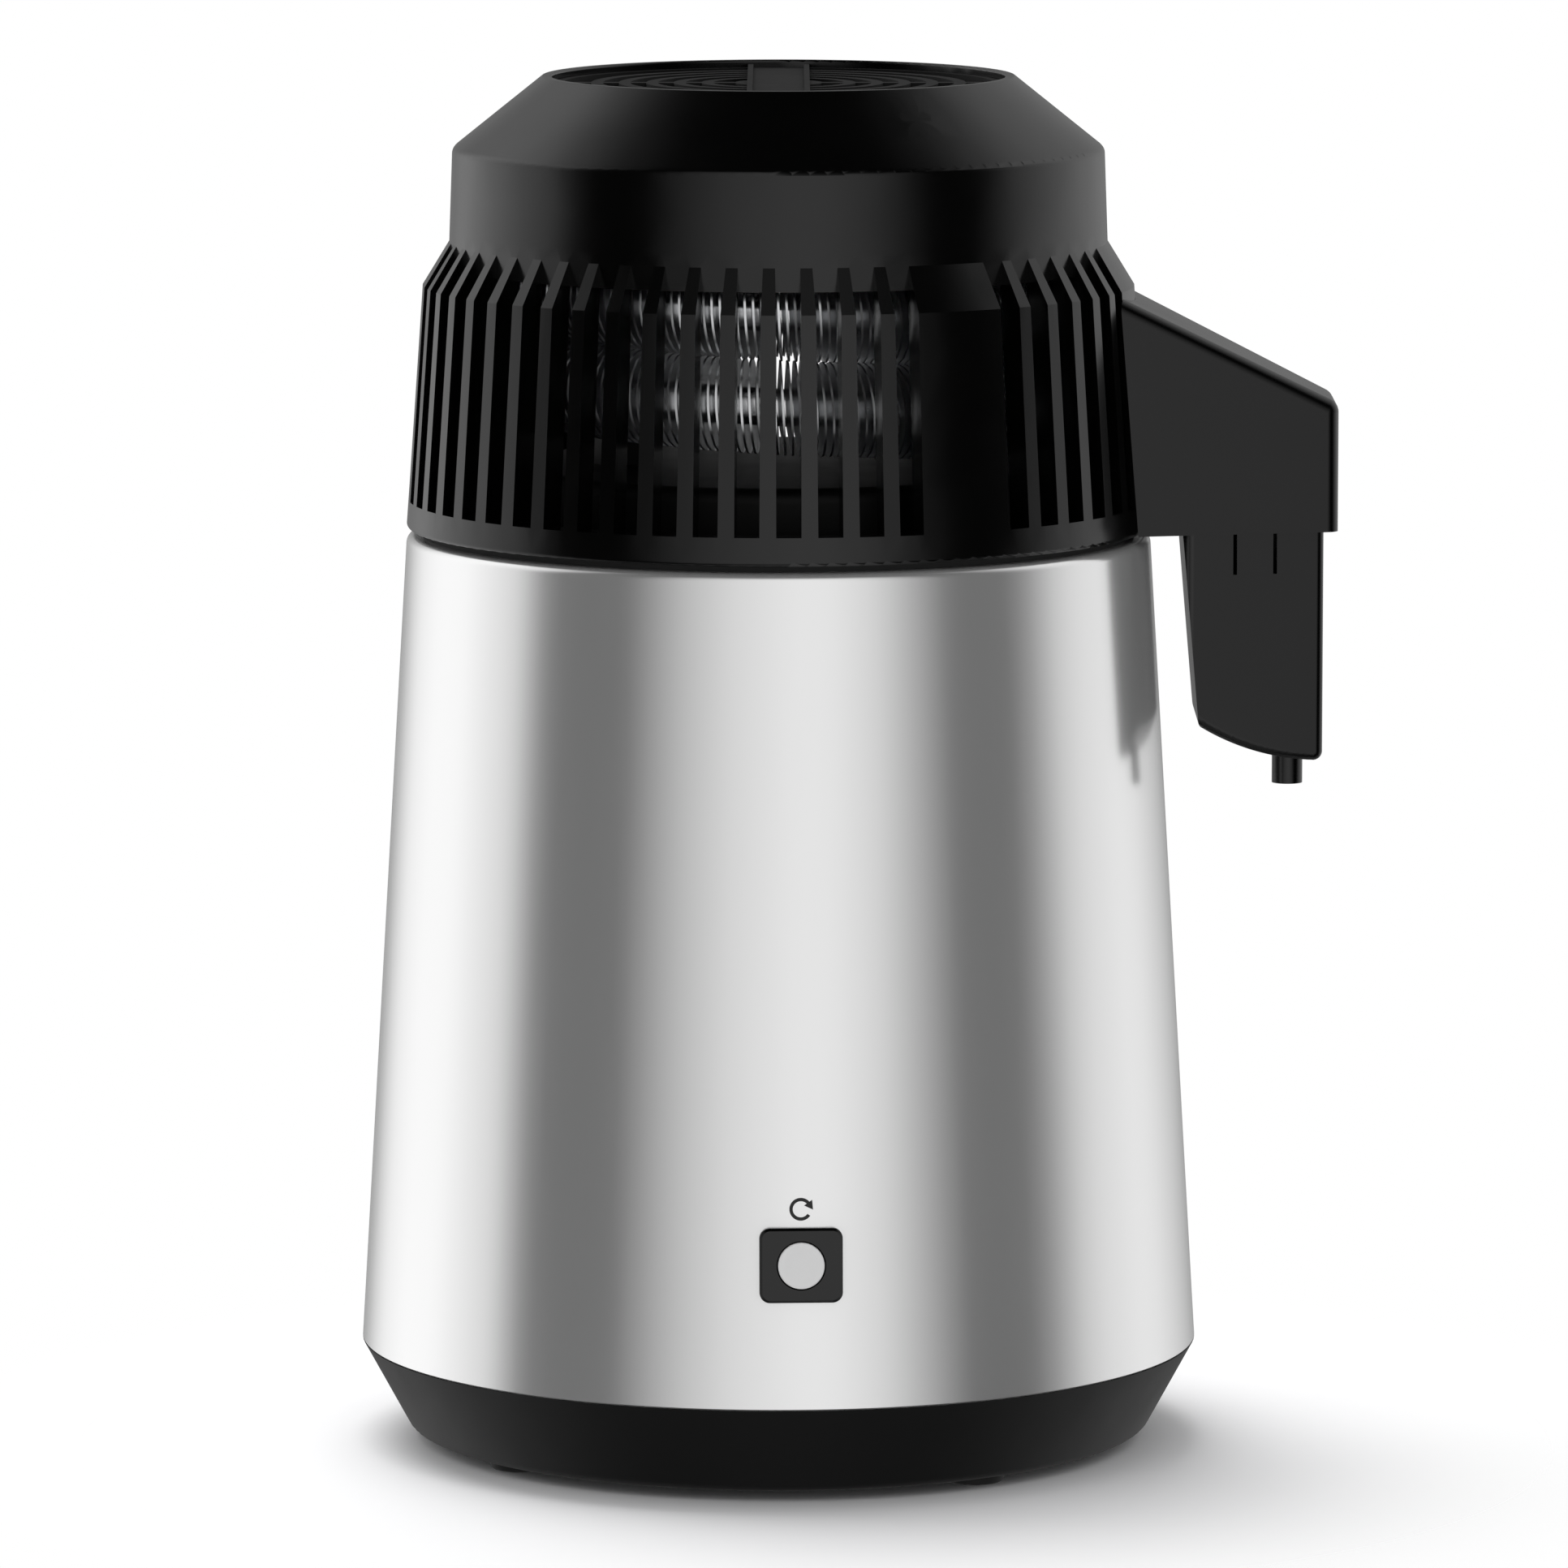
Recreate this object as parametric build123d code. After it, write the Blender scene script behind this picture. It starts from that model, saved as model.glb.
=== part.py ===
from build123d import *
from math import asin, atan, ceil, cos, degrees, pi, radians, sin, tan
import os

# Countertop water distiller: a steel boiler on a moulded base, a lift-off head with a finned condenser
# coil and a cooling fan, and a drip cup that plugs into the spout. Millimetres, +Z up. The origin is on
# the boiler's axis at the level it stands on, +X points to the spout and -Y to the front.

# Clearances
slip = 0.4
seat = 0.05
running = 0.05
margin = 5.0

# Feet
foot_height = 3.0
foot_radius = 8.0
foot_edge = 0.8
foot_inset = 13.6
foot_angles = (-53.0, 37.0, 127.0, 217.0)
foot_stem = 2.5
foot_barb = 0.8
foot_barb_height = 2.0

# Base moulding
base_height = 24.5
base_radius = 115.0
base_lean = 13.4
base_round = 4.0
base_wall = 2.5
base_floor = 3.0
base_lip = 7.0
vent_count = 16
vent_inset = 30.0
vent_length = 26.0
vent_width = 3.0

# Steel shell
shell_height = 222.9
shell_lean = 13.2
shell_wall = 0.8
shell_round = 2.6
shell_lip_gap = 2.2

# Boiling vessel
vessel_rim_inset = 4.8
vessel_rim_width = 7.0
vessel_wall = 0.8
vessel_lift = 57.7
vessel_base_sheet = 1.2

# Vessel studs and nuts
stud_count = 3
stud_inset = 16.0
stud_radius = 3.0
stud_flange_radius = 7.0
stud_flange = 1.5
stud_end = 1.5
nut_width = 10.0
nut_height = 5.0
pocket_radius = 8.0
pocket_depth = 8.0
pocket_wall = 2.5

# Heater, element and thermostat
heater_inset = 26.0
heater_thickness = 5.0
element_inset = 12.0
element_radius = 4.0
element_gap = 37.2
element_bend = 10.0
element_leg = 8.0
element_pin_radius = 1.6
element_pin = 8.0
thermostat_radius = 8.0
thermostat_height = 9.0
thermostat_flange_radius = 10.0
thermostat_flange = 1.5
blade_width = 6.3
blade_thickness = 0.8
blade_length = 8.0
blade_offset = 4.0
clip_length = 46.0
clip_width = 22.0
clip_thickness = 1.0
clip_pad = 9.0
clip_screw_radius = 1.5
clip_screw_length = 5.5

# Reset button, its bezel, switch and spring
reset_turn = 3.06
reset_rise = 39.2
bezel_width = 22.2
bezel_height = 20.0
bezel_corner = 2.8
bezel_proud = 1.9
bezel_edge = 0.7
bezel_skirt = 2.0
collar_wall = 2.0
collar_depth = 8.0
button_radius = 6.2
button_proud = 0.7
button_head = 6.0
button_dish = 0.6
button_dish_rim = 1.3
button_edge = 0.5
button_stem = 2.2
button_stem_length = 7.5
switch_width = 24.0
switch_height = 18.0
switch_depth = 13.0
spring_radius = 4.0
spring_wire = 0.3
spring_turns = 3.0

# Mains inlet
inlet_rise = 25.5
inlet_plate_width = 50.0
inlet_plate_height = 26.0
inlet_plate = 2.5
inlet_corner = 4.0
inlet_body_width = 30.0
inlet_body_height = 22.0
inlet_body_depth = 26.0
inlet_mouth_width = 24.6
inlet_mouth_height = 16.6
inlet_mouth_depth = 17.0
inlet_mouth_cut = 4.0
inlet_pin_width = 2.0
inlet_pin_height = 4.0
inlet_pin_length = 14.0
inlet_pin_tail = 8.0
inlet_pin_pitch = 7.0
inlet_pin_rise = 2.0
inlet_screw_span = 40.0
inlet_screw_radius = 1.5
inlet_screw_length = 8.0

# Fan supply socket
socket_drop = 28.4
socket_plate_width = 30.0
socket_plate_height = 20.0
socket_plate = 2.0
socket_corner = 3.0
socket_body_width = 25.0
socket_body_height = 15.0
socket_body_depth = 9.0
socket_mouth_width = 21.0
socket_mouth_height = 11.0
socket_mouth_depth = 7.0
socket_pin_radius = 1.2
socket_pin_length = 6.0
socket_pin_pitch = 9.0

# Lid gasket and vapour dome
gasket_height = 2.4
gasket_inset = 1.0
gasket_lip = 4.0
gasket_lip_width = 2.6
dome_gap = 4.0
dome_wall = 0.8
dome_height = 16.0
dome_round = 4.0
dome_screw_inset = 8.0
dome_screw_radius = 1.9
dome_screw_length = 8.0
dome_boss_radius = 4.6
dome_boss_height = 6.0

# Head housing
head_gap = 1.8
ring_overhang = 0.1
ring_round = 1.2
cage_height = 66.4
cage_lean = 4.7
shoulder_height = 11.9
shoulder_step = 7.3
band_lean = 0.9
band_height = 25.4
band_edge_drop = 6.4
chamfer_height = 19.7
chamfer_round = 3.0
chamfer_width = 24.6
rim_width = 2.6
rim_round = 0.6
housing_wall = 2.5
rib_depth = 7.5
slot_count = 57
slot_width = 6.7
slot_floor = 7.7
panel_angles = (60.0, 180.0, 300.0)
panel_width = 1.5
ledge_thickness = 3.0
ledge_width = 6.0

# Top grille
grille_recess = 2.0
grille_thickness = 2.4
grille_ledge = 3.0
grille_ledge_depth = 2.5
grille_border = 2.6
grille_ring_pitch = 7.5
grille_ring_width = 3.2
grille_hub_radius = 12.0
grille_bar_width = 17.0
grille_bar_edge = 1.5
grille_bar_rise = 1.0
grille_arm_width = 4.0

# Spout block and drip cup
spout_length = 50.7
spout_bury = 3.4
spout_root_half = 29.0
spout_end_half = 17.0
spout_root_height = 62.0
spout_end_height = 35.0
spout_wall = 3.4
spout_web = 2.5
spout_round = 4.0
spout_screw_y = 20.5
spout_screw_height = 44.0
spout_screw_radius = 1.6
spout_screw_length = 13.0
spout_screw_inset = 7.2
spout_boss_radius = 4.0
spout_boss_length = 12.0
cup_gap = 8.2
cup_lean = 4.5
cup_foot_drop = 53.0
cup_bottom_drop = 63.4
cup_belly = 2.5
cup_plug = 18.0
cup_wall = 1.8
cup_round = 2.5
tab_inset = 13.4
tab_width = 11.0
tab_slit = 1.05
tab_depth = 11.5
nozzle_inset = 9.0
nozzle_radius = 4.2
nozzle_bore = 2.6
nozzle_drop = 71.0
rest_rib = 1.6
rest_rib_drop = 50.0
rest_rib_spacing = 12.0
pod_height = 22.0
pod_gap = 1.0
pod_round = 2.0

# Condenser coil
tube_radius = 5.0
tube_wall = 0.8
fin_gap = 4.3
coil_pitch = 25.2
coil_turns = 2.39
coil_end_height = 34.2
coil_bend = 20.0
riser_elbow = 15.0
riser_tail = 2.0
outlet_elbow = 12.0
outlet_tail = 6.0
fin_radius = 12.4
fin_thickness = 0.4
fin_sides = 12
fin_hole_sides = 6
fins_per_turn = 80
fin_margin = 8.0
fitting_width = 17.0
fitting_height = 7.0
fitting_neck = 3.0
fitting_neck_radius = 7.5
grommet_radius = 9.0
grommet_lip = 1.2
grommet_neck_radius = 7.0
grommet_pad_rim = 1.5

# Fan motor and fan
spider_rise = 1.0
spider_thickness = 2.0
spider_hub_radius = 28.0
spider_arm_width = 14.0
spider_inset = 15.0
spider_screw_radius = 1.6
spider_screw_length = 5.0
spider_boss_radius = 4.2
spacer_length = 8.0
spacer_radius = 3.4
stack_height = 16.0
stack_width = 44.0
stack_back = 20.0
stack_front = 33.5
stack_corner = 3.0
stack_bore = 13.3
stack_leg = 8.0
window_length = 28.0
window_width = 10.5
winding_build = 4.5
winding_round = 3.0
winding_margin = 1.0
motor_screw_radius = 1.5
bridge_width = 16.0
bridge_depth = 8.0
bridge_sheet = 1.5
bridge_foot = 7.0
bush_radius = 4.5
bush_length = 7.0
bush_flange_radius = 6.5
bush_flange = 1.2
rotor_gap = 0.5
rotor_overhang = 1.0
shaft_radius = 2.0
shaft_tail = 2.0
fan_gap = 9.4
fan_hub_radius = 14.0
fan_hub_height = 8.0
fan_hub_wall = 2.0
fan_clear = 1.2
fan_blades = 5
blade_chord = 30.0
blade_rise = 7.0
blade_camber = 2.0
blade_sheet = 1.4

# Fan lead gland
gland_azimuth = 60.0
gland_height = 30.0
gland_radius = 5.5
gland_flange_radius = 8.5
gland_flange = 2.0
gland_bore = 3.2
gland_inner = 1.5

# Shared screw heads
screw_head_share = 1.9
screw_head_height = 1.4
screw_head_round = 0.8

# Radii and reaches that follow from the sizes
base_under_radius = base_radius - base_lean
foot_circle = base_under_radius - foot_inset
shell_top_radius = base_radius - shell_lean
vessel_rim_radius = shell_top_radius - vessel_rim_inset
vessel_radius = vessel_rim_radius - vessel_rim_width
shell_lip_radius = vessel_radius + vessel_wall + shell_lip_gap
stud_circle = vessel_radius - stud_inset
vent_circle = stud_circle - vent_inset
heater_radius = vessel_radius - heater_inset
element_circle = heater_radius - element_inset
gasket_radius = vessel_rim_radius - gasket_inset
gasket_inner_radius = vessel_radius - gasket_lip_width
dome_flange_radius = vessel_rim_radius - slip
dome_screw_circle = vessel_radius - dome_screw_inset
ledge_radius = dome_screw_circle - ledge_width
dome_radius = ledge_radius - dome_gap
ring_radius = shell_top_radius + ring_overhang
cage_top_radius = ring_radius - cage_lean
band_radius = cage_top_radius - shoulder_step
band_top_radius = band_radius - band_lean
rim_radius = band_top_radius - chamfer_width
coil_radius = cage_top_radius - rib_depth - fin_gap - fin_radius
spider_screw_circle = band_top_radius - spider_inset
fan_radius = rim_radius - fan_gap
spout_root = ring_radius - spout_bury
spout_reach = ring_radius + spout_length
spout_hollow_out = spout_reach - spout_wall
spout_screw_reach = cage_top_radius - spout_screw_inset
cup_inner = ring_radius + cup_gap
cup_foot_inner = cup_inner + cup_lean
cup_outer = spout_hollow_out - slip
tab_to = cup_outer - tab_inset
tab_from = tab_to - tab_width
nozzle_reach = cup_outer - nozzle_inset
motor_screw_y = (stack_width - bridge_foot) / 2

# Heights that follow from the sizes
base_z = foot_height
shell_z = base_z + base_height
shell_top = shell_z + shell_height
reset_z = shell_z + reset_rise
inlet_z = shell_z + inlet_rise
socket_z = shell_top - socket_drop
rim_z = shell_top + vessel_wall
vessel_floor = shell_z + vessel_lift
vessel_under = vessel_floor - vessel_base_sheet
heater_under = vessel_under - heater_thickness
nut_seat = base_z + pocket_depth
dome_z = rim_z + gasket_height
ledge_z = dome_z + dome_wall
ledge_top = ledge_z + ledge_thickness
dome_top = dome_z + dome_height
head_z = shell_top + head_gap
shoulder_z = head_z + cage_height
band_z = shoulder_z + shoulder_height
band_edge_z = band_z - band_edge_drop
chamfer_z = band_z + band_height
top_z = chamfer_z + chamfer_height
grille_top = top_z - grille_recess
grille_z = grille_top - grille_thickness
coil_end_z = head_z + coil_end_height
spider_z = chamfer_z + spider_rise
spider_top = spider_z + spider_thickness
stack_top = spider_z - spacer_length
stack_z = stack_top - stack_height
fan_z = spider_top + bush_flange + fan_clear

# Angles and slopes that follow from the sizes
shell_slope = (base_radius - shell_top_radius) / shell_height
cage_slope = (ring_radius - cage_top_radius) / cage_height
chamfer_slope = chamfer_height / (band_top_radius - rim_radius)
spout_taper = atan((spout_root_half - spout_end_half) / (spout_reach - spout_root))
roof_slope = (spout_root_height - spout_end_height) / (spout_reach - spout_root)
slot_pitch = 360.0 / slot_count
element_gap_angle = 2 * degrees(asin(element_gap / 2 / element_circle))
coil_end_azimuth = -degrees(asin(coil_bend / (coil_radius + coil_bend)))
coil_sweep = 360.0 * coil_turns
coil_fall = coil_pitch / (2 * pi * coil_radius)


def shell_radius(z):
    """Outer radius of the steel shell at a height."""
    return base_radius - shell_slope * (z - shell_z)


def cage_radius(z):
    """Outer radius of the slotted cage at a height."""
    return ring_radius - cage_slope * (z - head_z)


def band_radius_at(z):
    """Outer radius of the plain band above the slots at a height."""
    return band_radius + (band_top_radius - band_radius) * (z - band_z) / band_height


def roof_z(x):
    """Height of the spout block's sloping top at a reach."""
    return head_z + spout_root_height - roof_slope * (x - spout_root)


def turned(*corners):
    """Solid of revolution about Z through corners of radius, height and an optional rounding."""
    points = [corner[:2] for corner in corners]
    rounds = [corner[2] if len(corner) > 2 else 0 for corner in corners]
    outline = FilletPolyline(*points, radius=rounds, close=True)
    return revolve(make_face(Plane.XZ * outline), Axis.Z)


def post(radius, low, high, x=0.0, y=0.0):
    """Upright cylinder between two heights."""
    upright = (Align.CENTER, Align.CENTER, Align.MIN)
    return Pos(x, y, low) * Cylinder(radius, high - low, align=upright)


def block(size_x, size_y, low, high, x=0.0, y=0.0):
    """Upright box between two heights, centred on a point."""
    upright = (Align.CENTER, Align.CENTER, Align.MIN)
    return Pos(x, y, low) * Box(size_x, size_y, high - low, align=upright)


def raised(plan, low, high):
    """Plan carried straight up between two heights."""
    return extrude(Pos(0, 0, low) * plan, high - low, dir=(0, 0, 1))


def around(shape, count):
    """Copies of a shape spread evenly about Z."""
    return [Rot(0, 0, 360.0 * place / count) * shape for place in range(count)]


def at_angles(shape, angles):
    """Copies of a shape turned about Z to each angle."""
    return [Rot(0, 0, angle) * shape for angle in angles]


def wall_plane(azimuth, radius, z, slope):
    """Plane that touches a conical wall: x runs level round the wall, y up it and z out of it."""
    outward = Vector(cos(radians(azimuth)), sin(radians(azimuth)), 0)
    level = Vector(-sin(radians(azimuth)), cos(radians(azimuth)), 0)
    return Plane(origin=outward * radius + Vector(0, 0, z), x_dir=level, z_dir=outward + Vector(0, 0, slope))


def shell_plane(azimuth, z):
    """Plane that touches the steel shell's outside."""
    return wall_plane(azimuth, shell_radius(z), z, shell_slope)


def reset_place():
    """Place of the reset button, on the shell's front and turned a little to the right."""
    return shell_plane(reset_turn - 90, reset_z).location


def back_place(z):
    """Place on the middle of the shell's back."""
    return shell_plane(90, z).location


def shell_core():
    """Everything inside the shell's outer surface, used to seat plates on it."""
    low = shell_z - margin
    return turned((0, low), (shell_radius(low) + seat, low), (shell_top_radius + seat, shell_top),
                  (0, shell_top))


def screw(radius, length):
    """Pan-head screw with its head's underside at zero and its shank pointing down."""
    head = radius * screw_head_share
    return turned((0, -length), (radius, -length), (radius, 0), (head, 0),
                  (head, screw_head_height, screw_head_round), (0, screw_head_height))


def hexagon(width, low, high, bore):
    """Hexagonal nut blank, measured across its flats."""
    blank = raised(RegularPolygon(width / 2, 6, major_radius=False), low, high)
    return blank - post(bore, low - margin, high + margin)


def arc_pair(start, start_way, end, end_way):
    """Two tangent arcs from one point and direction to another."""
    across = end - start
    both = start_way + end_way
    open_turn = 2 * (1 - start_way.dot(end_way))
    along = across.dot(both)
    reach = (-along + (along * along + open_turn * across.dot(across)) ** 0.5) / open_turn
    middle = (start + start_way * reach + end - end_way * reach) * 0.5
    return [Edge.make_tangent_arc(start, start_way, middle), Edge.make_tangent_arc(end, -end_way, middle)]


def helix_arcs(place, way, sweep_angle):
    """Helix as tangent arcs, a pair to each quarter turn."""
    count = ceil(sweep_angle / 90)
    stops = [sweep_angle * step / count for step in range(count + 1)]
    return [arc for low, high in zip(stops, stops[1:])
            for arc in arc_pair(place(low), way(low), place(high), way(high))]


def swept(edges, start, way, section):
    """Section carried along joined edges from a start point."""
    return sweep(Plane(origin=start, z_dir=way) * section, path=Wire(edges))


def least_turn_gap(place, sweep_angle, wire_radius):
    """Smallest space between a wound tube and its own next turn."""
    step = 5
    next_turn = 240 // step
    points = [place(angle) for angle in range(0, int(sweep_angle), step)]
    apart = min((a - b).length for i, a in enumerate(points) for b in points[i + next_turn:])
    return apart - 2 * wire_radius


# Boiler


def rubber_feet():
    shank = base_z + base_floor
    barb = foot_stem + foot_barb
    foot = turned((0, 0), (foot_radius, 0, foot_edge), (foot_radius, base_z), (foot_stem, base_z),
                  (foot_stem, shank), (barb, shank), (foot_stem, shank + foot_barb_height),
                  (0, shank + foot_barb_height))
    return at_angles(Pos(foot_circle, 0, 0) * foot, foot_angles)


def base_moulding():
    floor_z = base_z + base_floor
    lip_z = shell_z + base_lip
    lip_outer = shell_radius(lip_z) - shell_wall - slip
    lip_inner = lip_outer - base_wall
    pan = turned((0, base_z), (base_under_radius, base_z, base_round), (base_radius, shell_z),
                 (lip_outer, shell_z), (lip_outer, lip_z), (lip_inner, lip_z), (lip_inner, shell_z),
                 (base_under_radius - base_wall, floor_z, base_round), (0, floor_z))
    boss = post(pocket_radius + pocket_wall, floor_z - base_floor / 2, nut_seat + pocket_wall, stud_circle)
    pocket = post(pocket_radius, base_z - margin, nut_seat, stud_circle)
    stud_hole = post(stud_radius + slip, base_z, nut_seat + margin, stud_circle)
    stem_hole = post(foot_stem + seat, base_z - margin, floor_z + margin, foot_circle)
    vent_plan = Pos(vent_circle, 0) * SlotOverall(vent_length, vent_width)
    vent = raised(vent_plan, base_z - margin, floor_z + margin)
    pan += around(boss, stud_count)
    pan -= around(pocket, stud_count) + around(stud_hole, stud_count)
    pan -= at_angles(stem_hole, foot_angles) + around(vent, vent_count)
    return pan


def outer_shell():
    under = shell_top - shell_wall
    shell = turned((base_radius, shell_z), (shell_top_radius, shell_top, shell_round),
                   (shell_lip_radius, shell_top), (shell_lip_radius, under),
                   (shell_radius(under) - shell_wall, under, shell_round - shell_wall),
                   (base_radius - shell_wall, shell_z))
    through = 4 * margin
    reset_hole = reset_place() * Cylinder(button_radius + slip + collar_wall + slip, through)
    inlet = back_place(inlet_z)
    inlet_hole = inlet * Box(inlet_body_width + 2 * slip, inlet_body_height + 2 * slip, through)
    screw_hole = Cylinder(inlet_screw_radius + seat, through)
    screw_holes = [inlet * Pos(side * inlet_screw_span / 2, 0, 0) * screw_hole for side in (-1, 1)]
    socket_hole = Box(socket_body_width + 2 * slip, socket_body_height + 2 * slip, through)
    return shell - reset_hole - inlet_hole - screw_holes - back_place(socket_z) * socket_hole


def boiling_vessel():
    """Rolled wall with a flange turned out on the shell's upper edge."""
    outside = vessel_radius + vessel_wall
    return turned((vessel_radius, vessel_floor), (outside, vessel_floor), (outside, shell_top),
                  (vessel_rim_radius, shell_top), (vessel_rim_radius, rim_z), (vessel_radius, rim_z))


def vessel_base():
    """Plate welded under the wall."""
    return post(vessel_radius + vessel_wall, vessel_under, vessel_floor)


def vessel_studs():
    low = nut_seat - nut_height - stud_end
    stud = turned((0, low), (stud_radius, low), (stud_radius, vessel_under - stud_flange),
                  (stud_flange_radius, vessel_under - stud_flange), (stud_flange_radius, vessel_under),
                  (0, vessel_under))
    return around(Pos(stud_circle, 0, 0) * stud, stud_count)


def stud_nuts():
    nut = hexagon(nut_width, nut_seat - nut_height, nut_seat, stud_radius + seat)
    return around(Pos(stud_circle, 0, 0) * nut, stud_count)


def clip_screw_x():
    return (clip_length - clip_pad) / 2


def heater_plate():
    groove = Pos(0, 0, heater_under) * Torus(element_circle, element_radius + 2 * seat)
    hole = post(clip_screw_radius + seat, heater_under - margin, vessel_under - seat)
    holes = [Pos(side * clip_screw_x(), 0, 0) * hole for side in (-1, 1)]
    return post(heater_radius, heater_under, vessel_under) - groove - holes


def heating_element():
    def place(angle):
        turn = radians(90 + element_gap_angle / 2 + angle)
        return Vector(element_circle * cos(turn), element_circle * sin(turn), heater_under)

    def way(angle):
        turn = radians(90 + element_gap_angle / 2 + angle)
        return Vector(-sin(turn), cos(turn), 0)

    down = Vector(0, 0, -1)
    run = 360 - element_gap_angle
    first, last = place(0), place(run)
    first_foot = first - way(0) * element_bend + down * element_bend
    last_foot = last + way(run) * element_bend + down * element_bend
    edges = [Edge.make_line(first_foot + down * element_leg, first_foot),
             Edge.make_tangent_arc(first_foot, -down, first),
             Edge.make_three_point_arc(first, place(run / 4), place(run / 2)),
             Edge.make_three_point_arc(place(run / 2), place(run * 3 / 4), last),
             Edge.make_tangent_arc(last, way(run), last_foot),
             Edge.make_line(last_foot, last_foot + down * element_leg)]
    sheath = swept(edges, first_foot + down * element_leg, -down, Circle(element_radius))
    leg_z = heater_under - element_bend - element_leg
    pins = [post(element_pin_radius, leg_z - element_pin, leg_z + element_leg / 2, foot.X, foot.Y)
            for foot in (first_foot, last_foot)]
    return sheath + pins


def thermostat():
    flange_z = heater_under - thermostat_flange
    low = flange_z - thermostat_height
    body = post(thermostat_flange_radius, flange_z, heater_under) + post(thermostat_radius, low, heater_under)
    blade = block(blade_thickness, blade_width, low - blade_length, low + blade_thickness)
    return body + [Pos(side * blade_offset, 0, 0) * blade for side in (-1, 1)]


def thermostat_clip():
    flange_z = heater_under - thermostat_flange
    strip = block(clip_length, clip_width, flange_z - clip_thickness, flange_z)
    pads = [block(clip_pad, clip_width, flange_z - clip_thickness, heater_under, side * clip_screw_x())
            for side in (-1, 1)]
    holes = [post(clip_screw_radius + seat, flange_z - margin, heater_under + margin, side * clip_screw_x())
             for side in (-1, 1)]
    return strip + pads - holes - post(thermostat_radius + slip, flange_z - margin, flange_z + margin)


def clip_screws():
    low = heater_under - thermostat_flange - clip_thickness
    fixing = Pos(0, 0, low) * Rot(180, 0, 0) * screw(clip_screw_radius, clip_screw_length)
    return [Pos(side * clip_screw_x(), 0, 0) * fixing for side in (-1, 1)]


def reset_bezel():
    bore = button_radius + slip
    plate = raised(RectangleRounded(bezel_width, bezel_height, bezel_corner), -bezel_skirt, bezel_proud)
    plate = chamfer(plate.faces().sort_by(Axis.Z)[-1].edges(), bezel_edge)
    plate = reset_place() * plate - shell_core()
    collar = reset_place() * post(bore + collar_wall, -collar_depth, bezel_proud / 2)
    opening = reset_place() * post(bore, -collar_depth - margin, bezel_proud + margin)
    return plate + collar - opening


def reset_button():
    front = bezel_proud + button_proud
    back = front - button_head
    dish_radius = button_radius - button_dish_rim
    ball = (dish_radius ** 2 + button_dish ** 2) / (2 * button_dish)
    stem_end = back - button_stem_length
    head = turned((0, stem_end), (button_stem, stem_end), (button_stem, back), (button_radius, back),
                  (button_radius, front, button_edge), (0, front))
    return reset_place() * (head - Pos(0, 0, front - button_dish + ball) * Sphere(ball))


def reset_spring():
    low = -collar_depth + spring_wire + seat
    high = bezel_proud + button_proud - button_head - spring_wire - seat
    sweep_angle = 360 * spring_turns
    rise = (high - low) / (2 * pi * spring_turns * spring_radius)

    def place(angle):
        turn = radians(angle)
        z = low + (high - low) * angle / sweep_angle
        return Vector(spring_radius * cos(turn), spring_radius * sin(turn), z)

    def way(angle):
        turn = radians(angle)
        return Vector(-sin(turn), cos(turn), rise).normalized()

    gap = least_turn_gap(place, sweep_angle, spring_wire)
    print("reset spring: least gap between turns", round(gap, 2))
    coil = swept(helix_arcs(place, way, sweep_angle), place(0), way(0), Circle(spring_wire))
    return reset_place() * coil


def reset_switch():
    guide = post(button_stem + running, -collar_depth - switch_depth + margin, -collar_depth + margin)
    body = block(switch_width, switch_height, -collar_depth - switch_depth, -collar_depth)
    low = -collar_depth - switch_depth
    blade = block(blade_width, blade_thickness, low - blade_length, low + blade_thickness)
    blades = [Pos(0, side * blade_offset, 0) * blade for side in (-1, 1)]
    return reset_place() * (body + blades - guide)


def inlet_pin_places():
    """Places of the earth pin and the two line pins in the inlet's mouth."""
    return [(0, inlet_pin_rise), (-inlet_pin_pitch, -inlet_pin_rise), (inlet_pin_pitch, -inlet_pin_rise)]


def inlet_pin(place):
    mouth_floor = inlet_plate - inlet_mouth_depth
    low = inlet_plate - inlet_body_depth - inlet_pin_tail
    return block(inlet_pin_width, inlet_pin_height, low, mouth_floor + inlet_pin_length, *place)


def mains_inlet():
    place = back_place(inlet_z)
    plate_plan = RectangleRounded(inlet_plate_width, inlet_plate_height, inlet_corner)
    plate = place * raised(plate_plan, -bezel_skirt, inlet_plate) - shell_core()
    body = block(inlet_body_width, inlet_body_height, inlet_plate - inlet_body_depth, inlet_plate / 2)
    mouth_sketch = Rectangle(inlet_mouth_width, inlet_mouth_height)
    mouth_sketch = chamfer(mouth_sketch.vertices().group_by(Axis.Y)[-1], inlet_mouth_cut)
    mouth = raised(mouth_sketch, inlet_plate - inlet_mouth_depth, inlet_plate + margin)
    pins = [inlet_pin(pin) for pin in inlet_pin_places()]
    holes = [Pos(side * inlet_screw_span / 2, 0, 0) * Cylinder(inlet_screw_radius + seat, 4 * margin)
             for side in (-1, 1)]
    cuts = [place * cut for cut in [mouth] + pins + holes]
    return plate + place * body - cuts


def inlet_pins():
    return [back_place(inlet_z) * inlet_pin(pin) for pin in inlet_pin_places()]


def inlet_screws():
    place = back_place(inlet_z)
    fixing = Pos(0, 0, inlet_plate) * screw(inlet_screw_radius, inlet_screw_length)
    return [place * Pos(side * inlet_screw_span / 2, 0, 0) * fixing for side in (-1, 1)]


def socket_pin(side):
    mouth_floor = socket_plate - socket_mouth_depth
    return post(socket_pin_radius, mouth_floor, mouth_floor + socket_pin_length, side * socket_pin_pitch / 2)


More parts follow.
